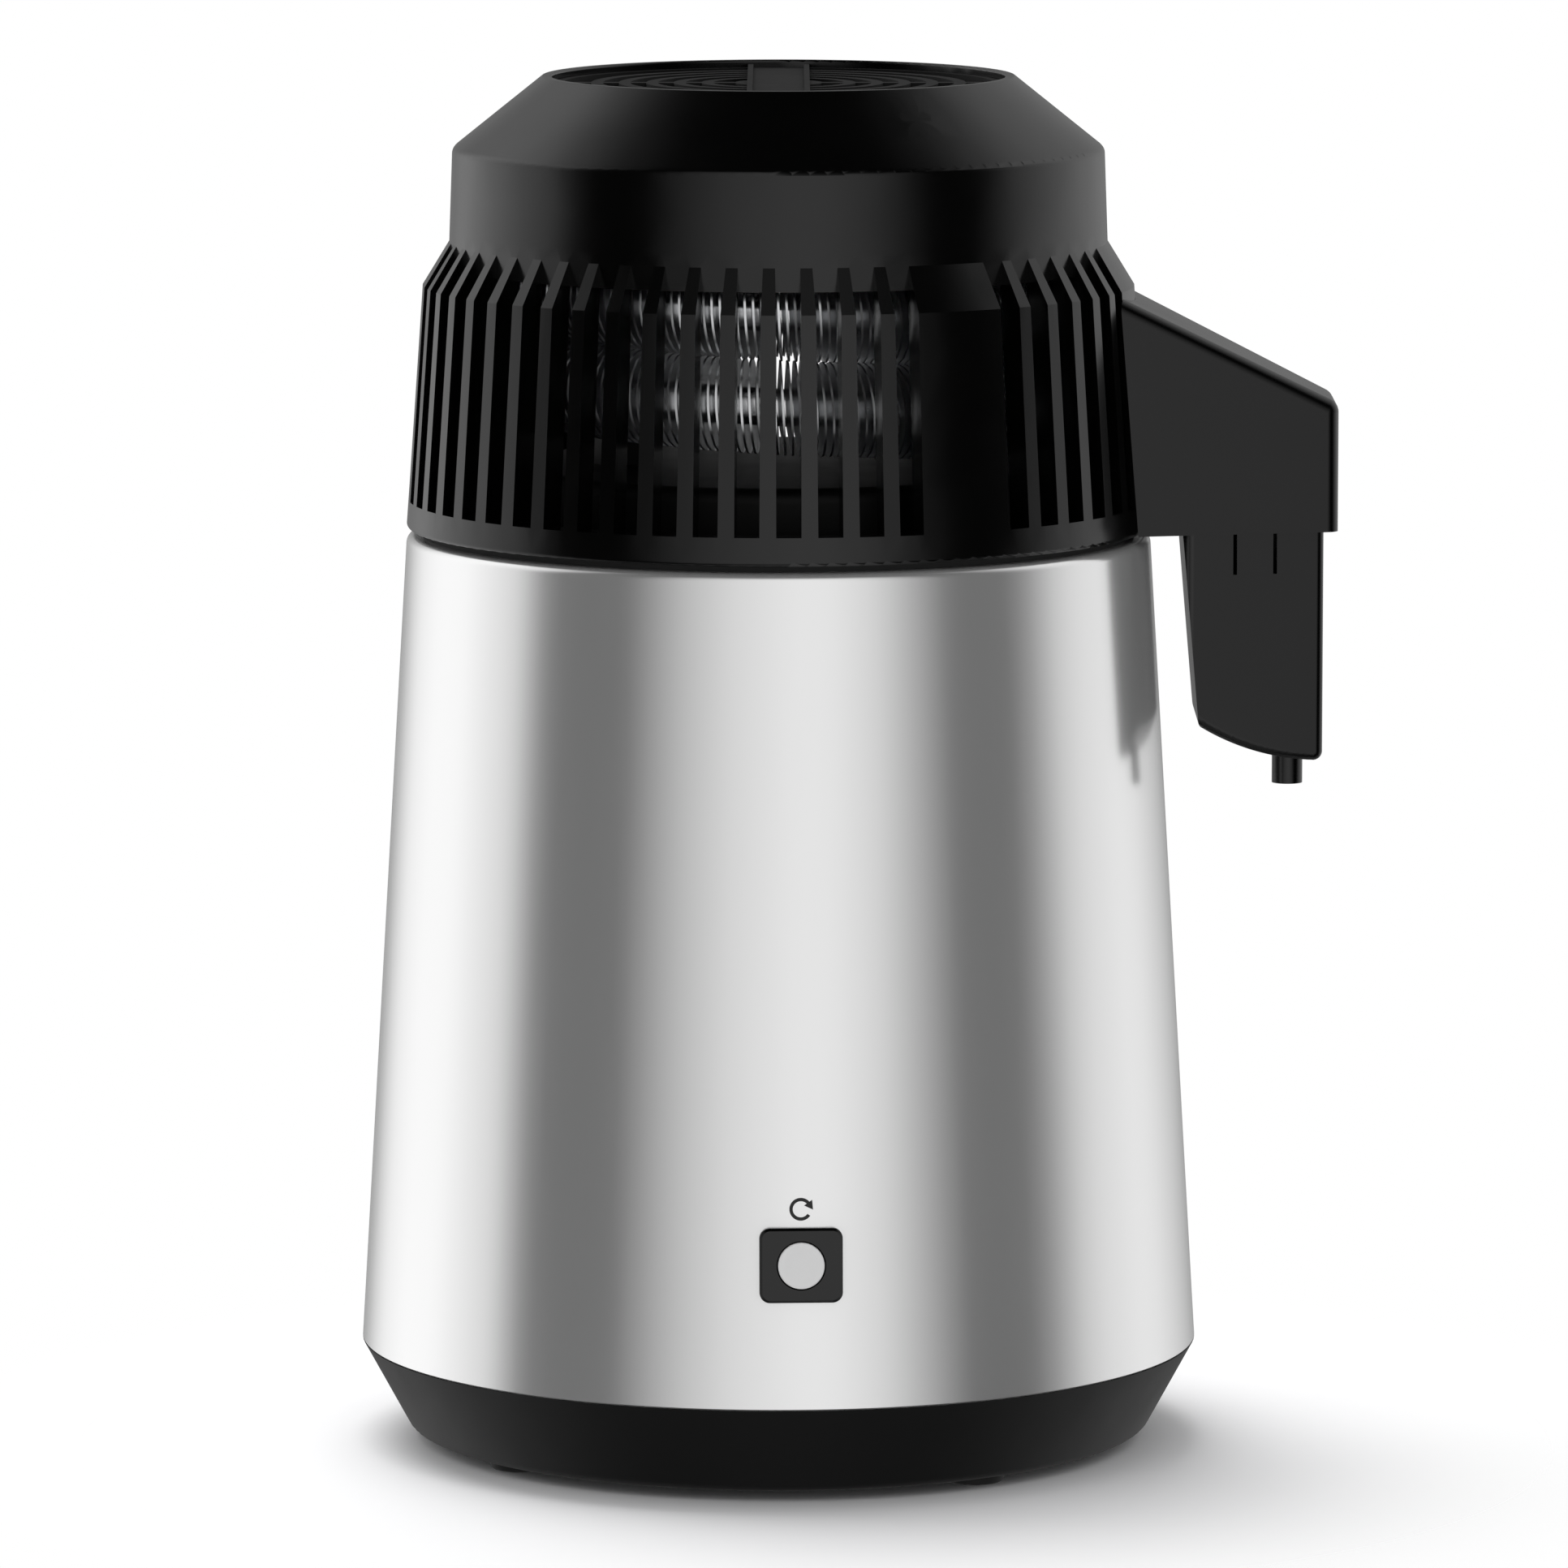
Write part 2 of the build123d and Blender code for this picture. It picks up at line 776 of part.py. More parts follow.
def fan_socket():
    place = back_place(socket_z)
    plate_plan = RectangleRounded(socket_plate_width, socket_plate_height, socket_corner)
    plate = place * raised(plate_plan, -bezel_skirt, socket_plate) - shell_core()
    body = block(socket_body_width, socket_body_height, socket_plate - socket_body_depth, socket_plate / 2)
    mouth = raised(RectangleRounded(socket_mouth_width, socket_mouth_height, socket_corner),
                   socket_plate - socket_mouth_depth, socket_plate + margin)
    return plate + place * body - place * mouth


def socket_pins():
    return [back_place(socket_z) * socket_pin(side) for side in (-1, 1)]


# Head


def lid_gasket():
    lip_outer = vessel_radius - slip
    lip_z = rim_z - gasket_lip
    return turned((gasket_inner_radius, lip_z), (lip_outer, lip_z, seat), (lip_outer, rim_z),
                  (gasket_radius, rim_z), (gasket_radius, dome_z), (gasket_inner_radius, dome_z))


def vapour_dome():
    inside = dome_radius - dome_wall
    dome = turned((inside, dome_z, dome_wall), (dome_flange_radius, dome_z), (dome_flange_radius, ledge_z),
                  (dome_radius, ledge_z), (dome_radius, dome_top, dome_round), (0, dome_top),
                  (0, dome_top - dome_wall), (inside, dome_top - dome_wall, dome_round - dome_wall))
    riser = riser_foot()
    riser_hole = post(tube_radius + seat, dome_z, dome_top + margin, riser.X, riser.Y)
    screw_hole = post(dome_screw_radius + seat, dome_z - margin, ledge_z + margin, dome_screw_circle)
    return dome - riser_hole - at_angles(screw_hole, panel_angles)


def dome_screws():
    fixing = Rot(180, 0, 0) * screw(dome_screw_radius, dome_screw_length)
    return at_angles(Pos(dome_screw_circle, 0, dome_z) * fixing, panel_angles)


def slot_angles():
    """Angles of the open slots: those behind the spout and in the plain panels stay closed."""
    half_slot = degrees(slot_width / 2 / ring_radius)
    spout_edge = degrees(asin(spout_root_half / ring_radius))
    angles = [slot_pitch * place for place in range(slot_count)]
    clear = [angle for angle in angles if min(angle, 360 - angle) - half_slot > spout_edge]
    half_panel = slot_pitch * panel_width / 2
    return [angle for angle in clear if all(abs(angle - panel) > half_panel for panel in panel_angles)]


def slotted_cage():
    ring_inner = dome_flange_radius + slip
    inside = [(cage_radius(z) - rib_depth, z) for z in (ledge_top, band_edge_z)]
    root = band_radius - housing_wall / 2
    root_z = band_z + (band_radius - root) * shoulder_height / (cage_top_radius - band_radius)
    cage = turned((ring_inner, head_z), (ring_radius, head_z, ring_round), (cage_top_radius, shoulder_z),
                  (root, root_z), (root, band_edge_z), inside[1], inside[0], (ledge_radius, ledge_top),
                  (ledge_radius, ledge_z), (ring_inner, ledge_z))
    depth = ring_radius - root + 2 * margin
    slot = block(depth, slot_width, head_z + slot_floor, root_z + margin, root - margin + depth / 2)
    return cage - at_angles(slot, slot_angles())


def upper_cover():
    drop = housing_wall * (1 + chamfer_slope ** 2) ** 0.5
    inner_band = band_radius_at(band_edge_z) - housing_wall
    inner_top = band_top_radius - housing_wall
    rim_inner = rim_radius - rim_width
    ledge_under = grille_z - grille_ledge_depth
    ledge_meet = rim_radius + (top_z - drop - ledge_under) / chamfer_slope
    inner_chamfer_z = top_z - drop - chamfer_slope * (inner_top - rim_radius)
    return turned((rim_inner, top_z, rim_round), (rim_radius, top_z, rim_round),
                  (band_top_radius, chamfer_z, chamfer_round), (band_radius_at(band_edge_z), band_edge_z),
                  (inner_band, band_edge_z), (inner_top, inner_chamfer_z), (ledge_meet, ledge_under),
                  (rim_inner - grille_ledge, ledge_under), (rim_inner - grille_ledge, grille_z),
                  (rim_inner, grille_z))


def outer_envelope(extra=0.0):
    """Everything inside the housing's outer surface, used to trim bosses and flanges to it."""
    low = head_z - margin
    return turned((0, low), (cage_radius(low) + extra, low), (cage_top_radius + extra, shoulder_z),
                  (band_radius + extra, band_z), (band_top_radius + extra, chamfer_z),
                  (rim_radius + extra, top_z), (0, top_z))


def wall_seat(place, neck_radius):
    """The housing's wall round a round hole, cut from a flange so that it sits on the wall."""
    return outer_envelope(seat) - place * Cylinder(neck_radius, 4 * ring_radius)


def spout_plan(x_in, x_out, inset):
    """Tapering plan of the spout, set in from the block's outside."""
    def half(x):
        return spout_root_half - (x - spout_root) * tan(spout_taper) - inset / cos(spout_taper)

    return make_face(Polyline((x_in, -half(x_in)), (x_out, -half(x_out)), (x_out, half(x_out)),
                              (x_in, half(x_in)), close=True))


def side_slab(*corners):
    """Slab across Y through corners of reach and height, wider than the spout."""
    face = make_face(Plane.XZ * Polyline(*corners, close=True))
    return extrude(face, 2 * spout_root_half, both=True)


def spout_screw_places():
    """Places of the screws that hold the spout block, with Z pointing back to their heads."""
    z = head_z + spout_screw_height
    return [Pos(spout_screw_reach, side * spout_screw_y, z) * Rot(0, -90, 0) for side in (-1, 1)]


def spout_block():
    """Open-backed block whose inner edges lie on the cage's outside."""
    x_in = cage_top_radius - 2 * rib_depth
    plan = raised(spout_plan(x_in, spout_reach, 0), head_z, top_z)
    roof = side_slab((x_in, head_z), (spout_reach, head_z), (spout_reach, roof_z(spout_reach)),
                     (x_in, roof_z(x_in)))
    solid = plan & roof
    edges = [edge for edge in solid.edges()
             if edge.bounding_box().max.X > x_in + seat and edge.bounding_box().max.Z > head_z + seat]
    solid = fillet(edges, spout_round)
    web_top = head_z + spout_web
    drop = spout_wall * (1 + roof_slope ** 2) ** 0.5
    hollow = raised(spout_plan(x_in, spout_hollow_out, spout_wall), web_top, top_z)
    hollow &= side_slab((x_in, web_top), (spout_hollow_out, web_top),
                        (spout_hollow_out, roof_z(spout_hollow_out) - drop), (x_in, roof_z(x_in) - drop))
    mouth = raised(spout_plan(cup_inner - slip, spout_hollow_out, spout_wall), head_z - margin,
                   web_top + seat)
    boss = post(spout_boss_radius, -spout_boss_length - rib_depth, 0)
    hole = post(spout_screw_radius + seat, -spout_screw_length - seat, 0)
    bosses = [place * boss for place in spout_screw_places()]
    holes = [place * hole for place in spout_screw_places()]
    return solid - hollow - mouth + bosses - holes - outer_envelope(seat)


def spout_screws():
    return [place * screw(spout_screw_radius, spout_screw_length) for place in spout_screw_places()]


def head_housing():
    housing = slotted_cage() + upper_cover()
    dome_boss = post(dome_boss_radius, ledge_z, ledge_top + dome_boss_height, dome_screw_circle)
    dome_hole = post(dome_screw_radius + seat, ledge_z - margin, dome_z + dome_screw_length + seat,
                     dome_screw_circle)
    spider_boss = post(spider_boss_radius, spider_top, top_z, spider_screw_circle) & outer_envelope()
    spider_hole = post(spider_screw_radius + seat, spider_top - margin,
                       spider_z + spider_screw_length + seat, spider_screw_circle)
    outlet_pad = grommet_place() * post(grommet_radius + grommet_pad_rim, -rib_depth, 0)
    outlet_hole = grommet_place() * Cylinder(grommet_neck_radius + seat, 4 * rib_depth)
    gland_hole = gland_place() * Cylinder(gland_radius + seat, 4 * rib_depth)
    spout_hole = Cylinder(spout_screw_radius + slip, 4 * rib_depth)
    spout_seat = post(spout_screw_radius * screw_head_share + slip, 0, margin)
    housing += at_angles(dome_boss, panel_angles) + at_angles(spider_boss, panel_angles) + [outlet_pad]
    housing -= at_angles(dome_hole, panel_angles) + at_angles(spider_hole, panel_angles)
    housing -= [place * cut for place in spout_screw_places() for cut in (spout_hole, spout_seat)]
    return housing - outlet_hole - gland_hole


def top_grille():
    outer = rim_radius - rim_width - slip
    rings = [Circle(outer) - Circle(outer - grille_border), Circle(grille_hub_radius)]
    radius = grille_hub_radius + grille_ring_pitch
    while radius < outer - grille_border - grille_ring_width:
        rings.append(Circle(radius + grille_ring_width / 2) - Circle(radius - grille_ring_width / 2))
        radius += grille_ring_pitch
    disc = Circle(outer)
    bar = Rectangle(grille_bar_width, 2 * outer) & disc
    arms = Rectangle(2 * outer, grille_arm_width) & disc
    plate = raised(Sketch() + rings + bar + arms, grille_z, grille_top)
    edge_x = (grille_bar_width - grille_bar_edge) / 2
    edges = Sketch() + [Pos(side * edge_x, 0) * Rectangle(grille_bar_edge, 2 * outer) for side in (-1, 1)]
    return plate + raised(edges & disc, grille_z, grille_top + grille_bar_rise)


# Condenser


def coil_place(angle):
    """Point of the coil's centre line, counted down from its upper end."""
    turn = radians(coil_end_azimuth - coil_sweep + angle)
    z = coil_end_z + coil_pitch * (coil_sweep - angle) / 360
    return Vector(coil_radius * cos(turn), coil_radius * sin(turn), z)


def coil_way(angle):
    """Direction of flow along the coil."""
    turn = radians(coil_end_azimuth - coil_sweep + angle)
    return Vector(-sin(turn), cos(turn), -coil_fall).normalized()


def coil_inward(angle):
    """Level direction from the coil to the axis."""
    turn = radians(coil_end_azimuth - coil_sweep + angle)
    return Vector(-cos(turn), -sin(turn), 0)


def riser_bend():
    """Where the riser's upper elbow meets the bend into the coil."""
    return coil_place(0) + (coil_inward(0) - coil_way(0)) * coil_bend


def riser_foot():
    """Lower end of the riser, just inside the dome."""
    top = riser_bend() + coil_inward(0) * riser_elbow
    return Vector(top.X, top.Y, dome_top - dome_wall - riser_tail)


def outlet_turn():
    return radians(90 + coil_end_azimuth)


def outlet_way():
    """Direction of the straight outlet after its bend."""
    return coil_way(coil_sweep) * cos(outlet_turn()) - coil_inward(coil_sweep) * sin(outlet_turn())


def outlet_start():
    """Where the coil's lower bend ends and the straight outlet begins."""
    along = coil_way(coil_sweep) * (coil_bend * sin(outlet_turn()))
    outward = coil_inward(coil_sweep) * (coil_bend * (cos(outlet_turn()) - 1))
    return coil_place(coil_sweep) + along + outward


def condenser_tube():
    up = Vector(0, 0, 1)
    foot = riser_foot()
    bend = riser_bend()
    riser_top = bend + coil_inward(0) * riser_elbow - up * riser_elbow
    start = outlet_start()
    way = outlet_way()
    down = (way * way.Z - up).normalized()
    elbow = start + way * ((nozzle_reach - outlet_elbow - start.X) / way.X)
    elbow_end = elbow + (way + down) * outlet_elbow
    edges = [Edge.make_line(foot, riser_top), Edge.make_tangent_arc(riser_top, up, bend),
             Edge.make_tangent_arc(bend, -coil_inward(0), coil_place(0))]
    edges += helix_arcs(coil_place, coil_way, coil_sweep)
    edges += [Edge.make_tangent_arc(coil_place(coil_sweep), coil_way(coil_sweep), start),
              Edge.make_line(start, elbow), Edge.make_tangent_arc(elbow, way, elbow_end),
              Edge.make_line(elbow_end, elbow_end + down * outlet_tail)]
    gap = least_turn_gap(coil_place, coil_sweep, tube_radius)
    print("condenser: least gap between turns", round(gap, 2))
    return swept(edges, foot, up, Circle(tube_radius) - Circle(tube_radius - tube_wall))


def condenser_fins():
    hole = RegularPolygon(tube_radius + 2 * seat, fin_hole_sides, major_radius=False)
    fin = extrude(RegularPolygon(fin_radius, fin_sides) - hole, fin_thickness / 2, both=True)
    count = int((coil_sweep - 2 * fin_margin) * fins_per_turn / 360)
    step = (coil_sweep - 2 * fin_margin) / count
    angles = [fin_margin + step * place for place in range(count + 1)]
    return [Plane(origin=coil_place(angle), z_dir=coil_way(angle)).location * fin for angle in angles]


def riser_fitting():
    foot = riser_foot()
    neck_z = dome_top + fitting_height
    bore = tube_radius + seat
    fitting = hexagon(fitting_width, dome_top, neck_z, bore)
    fitting += post(fitting_neck_radius, neck_z, neck_z + fitting_neck) - post(bore, dome_top, top_z)
    return Pos(foot.X, foot.Y, 0) * fitting


def grommet_place():
    """Where the outlet leaves the pad on the cage's wall, with Z pointing into the spout."""
    start = outlet_start()
    way = outlet_way()
    z = start.Z + way.Z * (ring_radius - start.X) / way.X
    return Pos(ring_radius, 0, z) * Rot(0, 90, 0)


def outlet_grommet():
    bore = tube_radius + slip
    back = cage_radius(coil_end_z) - rib_depth - ring_radius
    return grommet_place() * turned((bore, back), (grommet_neck_radius, back), (grommet_neck_radius, 0),
                                    (grommet_radius, 0), (grommet_radius, grommet_lip), (bore, grommet_lip))


# Fan and motor


def motor_spider():
    reach = spider_screw_circle + spider_boss_radius
    arm = Pos(reach / 2, 0) * SlotOverall(reach, spider_arm_width)
    plan = Circle(spider_hub_radius) + at_angles(arm, panel_angles)
    plate = raised(plan, spider_z, spider_top)
    low, high = spider_z - margin, spider_top + margin
    screw_hole = post(spider_screw_radius + seat, low, high, spider_screw_circle)
    bush_hole = post(bush_radius + seat, low, high)
    motor_holes = [post(motor_screw_radius + seat, low, high, 0, side * motor_screw_y) for side in (-1, 1)]
    return plate - at_angles(screw_hole, panel_angles) - bush_hole - motor_holes


def spider_screws():
    fixing = Rot(180, 0, 0) * screw(spider_screw_radius, spider_screw_length)
    return at_angles(Pos(spider_screw_circle, 0, spider_z) * fixing, panel_angles)


def motor_spacers():
    sleeve = post(spacer_radius, stack_top, spider_z) - post(motor_screw_radius + seat, stack_top, spider_z)
    return [Pos(0, side * motor_screw_y, 0) * sleeve for side in (-1, 1)]


def leg_x():
    """Middle of the stator leg that carries the winding."""
    return stack_front - stack_leg / 2


def motor_stator():
    length = stack_front + stack_back
    plan = Pos((stack_front - stack_back) / 2, 0) * RectangleRounded(length, stack_width, stack_corner)
    plan -= Circle(stack_bore)
    plan -= Pos(stack_front - stack_leg - window_width / 2, 0) * Rectangle(window_width, window_length)
    plan -= [Pos(0, side * motor_screw_y) * Circle(motor_screw_radius + seat) for side in (-1, 1)]
    return raised(plan, stack_z, stack_top)


def motor_winding():
    middle = (stack_z + stack_top) / 2
    outer = RectangleRounded(stack_leg + 2 * winding_build, stack_height + 2 * winding_build, winding_round)
    ring = outer - Rectangle(stack_leg + 2 * slip, stack_height + 2 * slip)
    length = window_length - 2 * winding_margin
    return Pos(leg_x(), 0, middle) * Rot(90, 0, 0) * extrude(ring, length / 2, both=True)


def lower_bridge():
    half = stack_width / 2
    wall = half - bridge_foot
    inner = wall - bridge_sheet
    low = stack_z - bridge_depth
    foot_z = stack_z - bridge_sheet
    hat = Polyline((-half, stack_z), (-half, foot_z), (-wall, foot_z), (-wall, low), (wall, low),
                   (wall, foot_z), (half, foot_z), (half, stack_z), (inner, stack_z),
                   (inner, low + bridge_sheet), (-inner, low + bridge_sheet), (-inner, stack_z), close=True)
    strip = extrude(make_face(Plane.YZ * hat), bridge_width / 2, both=True)
    hole = post(motor_screw_radius + seat, low, stack_z + margin)
    holes = [Pos(0, side * motor_screw_y, 0) * hole for side in (-1, 1)]
    return strip - holes - post(bush_radius + seat, low - margin, stack_z)


def shaft_bushes():
    bore = shaft_radius + running
    end = bush_length - bush_flange
    bush = turned((bore, -bush_flange), (bush_flange_radius, -bush_flange), (bush_flange_radius, 0),
                  (bush_radius, 0), (bush_radius, end), (bore, end))
    return [Pos(0, 0, stack_z - bridge_depth) * bush, Pos(0, 0, spider_top) * Rot(180, 0, 0) * bush]


def motor_screws():
    low = stack_z - bridge_sheet
    bolt = Pos(0, 0, low) * Rot(180, 0, 0) * screw(motor_screw_radius, spider_top - low)
    return [Pos(0, side * motor_screw_y, 0) * bolt for side in (-1, 1)]


def motor_rotor():
    low, high = stack_z - rotor_overhang, stack_top + rotor_overhang
    return post(stack_bore - rotor_gap, low, high) - post(shaft_radius + seat, low - margin, high + margin)


def fan_shaft():
    low = stack_z - bridge_depth - bush_flange - shaft_tail
    return post(shaft_radius, low, fan_z + fan_hub_height - fan_hub_wall)


def fan_impeller():
    top = fan_z + fan_hub_height
    under = top - fan_hub_wall
    bore = shaft_radius + seat
    skirt = fan_hub_radius - fan_hub_wall
    hub = turned((bore, fan_z), (bore + fan_hub_wall, fan_z), (bore + fan_hub_wall, under), (skirt, under),
                 (skirt, fan_z), (fan_hub_radius, fan_z), (fan_hub_radius, top, fan_hub_wall), (0, top),
                 (0, under), (bore, under))
    half = blade_chord / 2
    crown = blade_rise / 2 + blade_camber
    low = Polyline((-half, 0), (-half, blade_sheet))
    upper = ThreePointArc((-half, blade_sheet), (0, crown), (half, blade_rise + blade_sheet))
    lower = ThreePointArc((-half, 0), (0, crown - blade_sheet), (half, blade_rise))
    high = Polyline((half, blade_rise), (half, blade_rise + blade_sheet))
    section = make_face(Plane.YZ * (Curve() + [low, upper, high, lower]))
    blade = Pos(0, 0, fan_z) * extrude(section, fan_radius + margin)
    sweep_area = Circle(fan_radius) - Circle(fan_hub_radius - fan_hub_wall / 2)
    sector = raised(sweep_area, fan_z - margin, top + margin)
    return hub + around(blade & sector, fan_blades)


# Drip cup


def cup_solid(inset, top, rounding):
    """Tapered cup body with a slanted inner end and a rounded bottom, set in from the cup's outside."""
    x_out = cup_outer - inset
    x_in = cup_inner + inset
    foot = Vector(cup_foot_inner + inset, head_z - cup_foot_drop + inset)
    corner = Vector(x_out, head_z - cup_bottom_drop + inset)
    across = (corner - foot).normalized()
    belly = (foot + corner) / 2 + Vector(across.Y, -across.X) * cup_belly
    outline = Polyline(corner, (x_out, top), (x_in, top), (x_in, head_z), foot)
    bottom = ThreePointArc(foot, belly, corner)
    side = extrude(make_face(Plane.XZ * (Curve() + [outline, bottom])), 2 * spout_root_half, both=True)
    plan = fillet(spout_plan(x_in, x_out, spout_wall + slip + inset).vertices(), rounding)
    solid = side & raised(plan, corner.Y - cup_belly - margin, top + margin)
    return fillet(solid.faces().sort_by(Axis.Z)[0].edges(), rounding)


def cup_top():
    return head_z + cup_plug


def drip_cup():
    outside = cup_solid(0, cup_top(), cup_round)
    hollow = cup_solid(cup_wall, cup_top() + margin, cup_round - cup_wall)
    nozzle_z = head_z - nozzle_drop
    nozzle = post(nozzle_radius, nozzle_z, head_z - cup_bottom_drop + 2 * cup_wall, nozzle_reach)
    rib_z = head_z - rest_rib_drop
    middle = (cup_foot_inner + spout_hollow_out) / 2
    rib = block(rest_rib, 4 * spout_root_half, head_z - cup_bottom_drop, rib_z, middle)
    ribs = [Pos(side * rest_rib_spacing / 2, 0, 0) * rib for side in (-1, 1)]
    slit = block(tab_slit, 4 * spout_root_half, head_z - tab_depth, cup_top() + margin)
    slits = [Pos(x, 0, 0) * slit for x in (tab_from, tab_to)]
    bore = post(nozzle_bore, nozzle_z - margin, head_z - cup_foot_drop, nozzle_reach)
    body = outside - hollow + [rib & outside for rib in ribs] + nozzle
    return body - slits - bore


def filter_pod():
    low = head_z - rest_rib_drop
    pod = cup_solid(cup_wall + pod_gap, low + pod_height, pod_round)
    return pod & block(4 * spout_reach, 4 * spout_root_half, low, low + pod_height)


# Fan lead gland


def gland_place():
    z = head_z + gland_height
    return wall_plane(gland_azimuth, cage_radius(z), z, cage_slope).location


def fan_lead_gland():
    sleeve = turned((gland_bore, -rib_depth - gland_inner), (gland_radius, -rib_depth - gland_inner),
                    (gland_radius, -gland_flange), (gland_flange_radius, -gland_flange),
                    (gland_flange_radius, gland_flange, gland_flange / 2), (gland_bore, gland_flange))
    return gland_place() * sleeve - wall_seat(gland_place(), gland_radius)


nodes = {
    "rubber_feet": rubber_feet, "base_moulding": base_moulding, "outer_shell": outer_shell,
    "boiling_vessel": boiling_vessel, "vessel_base": vessel_base, "vessel_studs": vessel_studs,
    "stud_nuts": stud_nuts, "heater_plate": heater_plate, "heating_element": heating_element,
    "thermostat": thermostat, "thermostat_clip": thermostat_clip, "clip_screws": clip_screws,
    "reset_bezel": reset_bezel, "reset_button": reset_button, "reset_spring": reset_spring,
    "reset_switch": reset_switch, "mains_inlet": mains_inlet, "inlet_pins": inlet_pins,
    "inlet_screws": inlet_screws, "fan_socket": fan_socket, "socket_pins": socket_pins,
    "lid_gasket": lid_gasket, "vapour_dome": vapour_dome, "dome_screws": dome_screws,
    "head_housing": head_housing, "top_grille": top_grille, "spout_block": spout_block,
    "spout_screws": spout_screws, "condenser_tube": condenser_tube, "condenser_fins": condenser_fins,
    "riser_fitting": riser_fitting, "outlet_grommet": outlet_grommet, "motor_spider": motor_spider,
    "spider_screws": spider_screws, "motor_spacers": motor_spacers, "motor_stator": motor_stator,
    "motor_winding": motor_winding, "lower_bridge": lower_bridge, "shaft_bushes": shaft_bushes,
    "motor_screws": motor_screws, "motor_rotor": motor_rotor, "fan_shaft": fan_shaft,
    "fan_impeller": fan_impeller, "drip_cup": drip_cup, "filter_pod": filter_pod,
    "fan_lead_gland": fan_lead_gland,
}

os.makedirs("parts", exist_ok=True)
for name, make in nodes.items():
    made = make()
    pieces = made if isinstance(made, list) else [made]
    solids = [solid for piece in pieces for solid in piece.solids()]
    export_step(Compound(children=solids), f"parts/{name}.step")
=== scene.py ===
from math import asin, cos, pi, radians, sin

import bmesh
import bpy
from mathutils import Matrix, Vector


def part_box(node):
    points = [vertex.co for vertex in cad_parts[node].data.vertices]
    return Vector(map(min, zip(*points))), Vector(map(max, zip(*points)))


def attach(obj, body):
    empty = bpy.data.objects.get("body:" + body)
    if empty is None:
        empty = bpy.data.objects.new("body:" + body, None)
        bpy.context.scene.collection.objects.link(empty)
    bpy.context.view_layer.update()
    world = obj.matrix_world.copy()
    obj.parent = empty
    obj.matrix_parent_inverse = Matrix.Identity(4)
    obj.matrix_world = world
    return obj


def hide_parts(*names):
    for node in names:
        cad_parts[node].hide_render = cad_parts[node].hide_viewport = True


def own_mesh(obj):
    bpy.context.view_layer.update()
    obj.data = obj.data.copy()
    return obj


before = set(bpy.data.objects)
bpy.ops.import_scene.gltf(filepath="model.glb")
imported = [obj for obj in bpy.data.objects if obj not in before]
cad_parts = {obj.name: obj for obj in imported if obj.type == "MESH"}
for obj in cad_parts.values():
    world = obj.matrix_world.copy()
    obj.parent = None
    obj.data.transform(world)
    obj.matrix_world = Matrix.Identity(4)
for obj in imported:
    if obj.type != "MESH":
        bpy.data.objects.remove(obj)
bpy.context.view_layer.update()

# Sizes shared with the solids, in metres
shell_foot_z = 0.0275
shell_top_z = 0.2504
shell_foot_radius = 0.1150
shell_top_radius = 0.1018
shell_lip_radius = 0.0930
shell_round = 0.0026
shell_wall = 0.0008
shell_slope = (shell_foot_radius - shell_top_radius) / (shell_top_z - shell_foot_z)
reset_azimuth = radians(-86.94)
reset_z = 0.0667
inlet_z = 0.0530
socket_z = 0.2220
back_azimuth = radians(90)
vessel_radius = 0.0900
vessel_floor_z = 0.0852
tube_radius = 0.0050
coil_radius = 0.0730
coil_pitch = 0.0252
coil_turns = 2.39
coil_bend = 0.0200
coil_foot_z = 0.2864
fin_margin = radians(8)

# Sizes and counts of the pieces made here, in metres; a window is half its width and half its height
shell_hem = 0.0005
shell_steps = 384
reset_window = (0.0087, 0.0087)
inlet_window = (0.0152, 0.0112)
socket_window = (0.0127, 0.0077)
ring_steps = 180
weld_size = 0.0016
weld_sink = 0.0002
weld_steps = 5
# The skirt sizes place a dark band of painted shade in the gap between the head and the vessel's rim
skirt_radius = 0.09705
skirt_wall = 0.0005
skirt_foot_z = 0.25045
skirt_top_z = 0.25215
fin_radius = 0.0129
fin_thickness = 0.0006
fin_spacing = 2 * pi / 240.5
fin_dish = 0.0010
fin_sides = 20
symbol_z = 0.0816
symbol_radius = 0.0026
symbol_stroke = 0.0009
symbol_sweep = radians(290)
symbol_turn = radians(35)
arrow_radius = symbol_stroke * 1.7
arrow_drop = symbol_stroke * 0.5
ink_proud = 0.00005
bag_start = (0.88, 0.90, 0.80)
bag_mesh = 0.0010
bag_mass = 0.001
bag_pressure = 60.0
bag_moments = 20
bag_swell = 0.0014
seam_gap = 0.000002

# Camera, as the photograph was taken
camera_place = (0.0015, -2.900, 0.5727)
camera_pitch = radians(7.70)
camera_lens = 244.3
camera_sensor = 36.0

# Studio: lamp, floor's fade, and the tent's brightness by elevation and by angle from the front to the right
ambient_light = 0.72
key_place = (-0.58, 0.95, 2.35)
key_aim = (0, 0, 0.1)
key_size = 2.0
key_power = 46.0
floor_fade_from = 0.09
floor_fade_to = 0.26
floor_fade_centre = (0.01, -0.015, 0.0)
tent_radius = 4.0
tent_levels = ((-90, 0.35), (-60, 0.35), (-22, 1.0), (40, 1.0), (75, 0.0))
left_cloth = ((-180, 0.20), (-158, 0.38), (-140, 0.92), (-126, 1.08), (-110, 1.08), (-86, 0.72), (-75, 0.10),
              (-69, 0.0))
front_cloth = ((-46, 0.0), (-28, 0.46), (-14, 0.71), (5, 0.88), (15, 0.88), (29, 0.69), (44, 0.25), (53, 0.0))
right_cloth = ((73, 0.0), (81, 0.18), (93, 0.60), (102, 0.76), (119, 0.88), (129, 0.84), (160, 0.40),
               (180, 0.20))
tent_cloths = left_cloth + front_cloth + right_cloth


# Materials


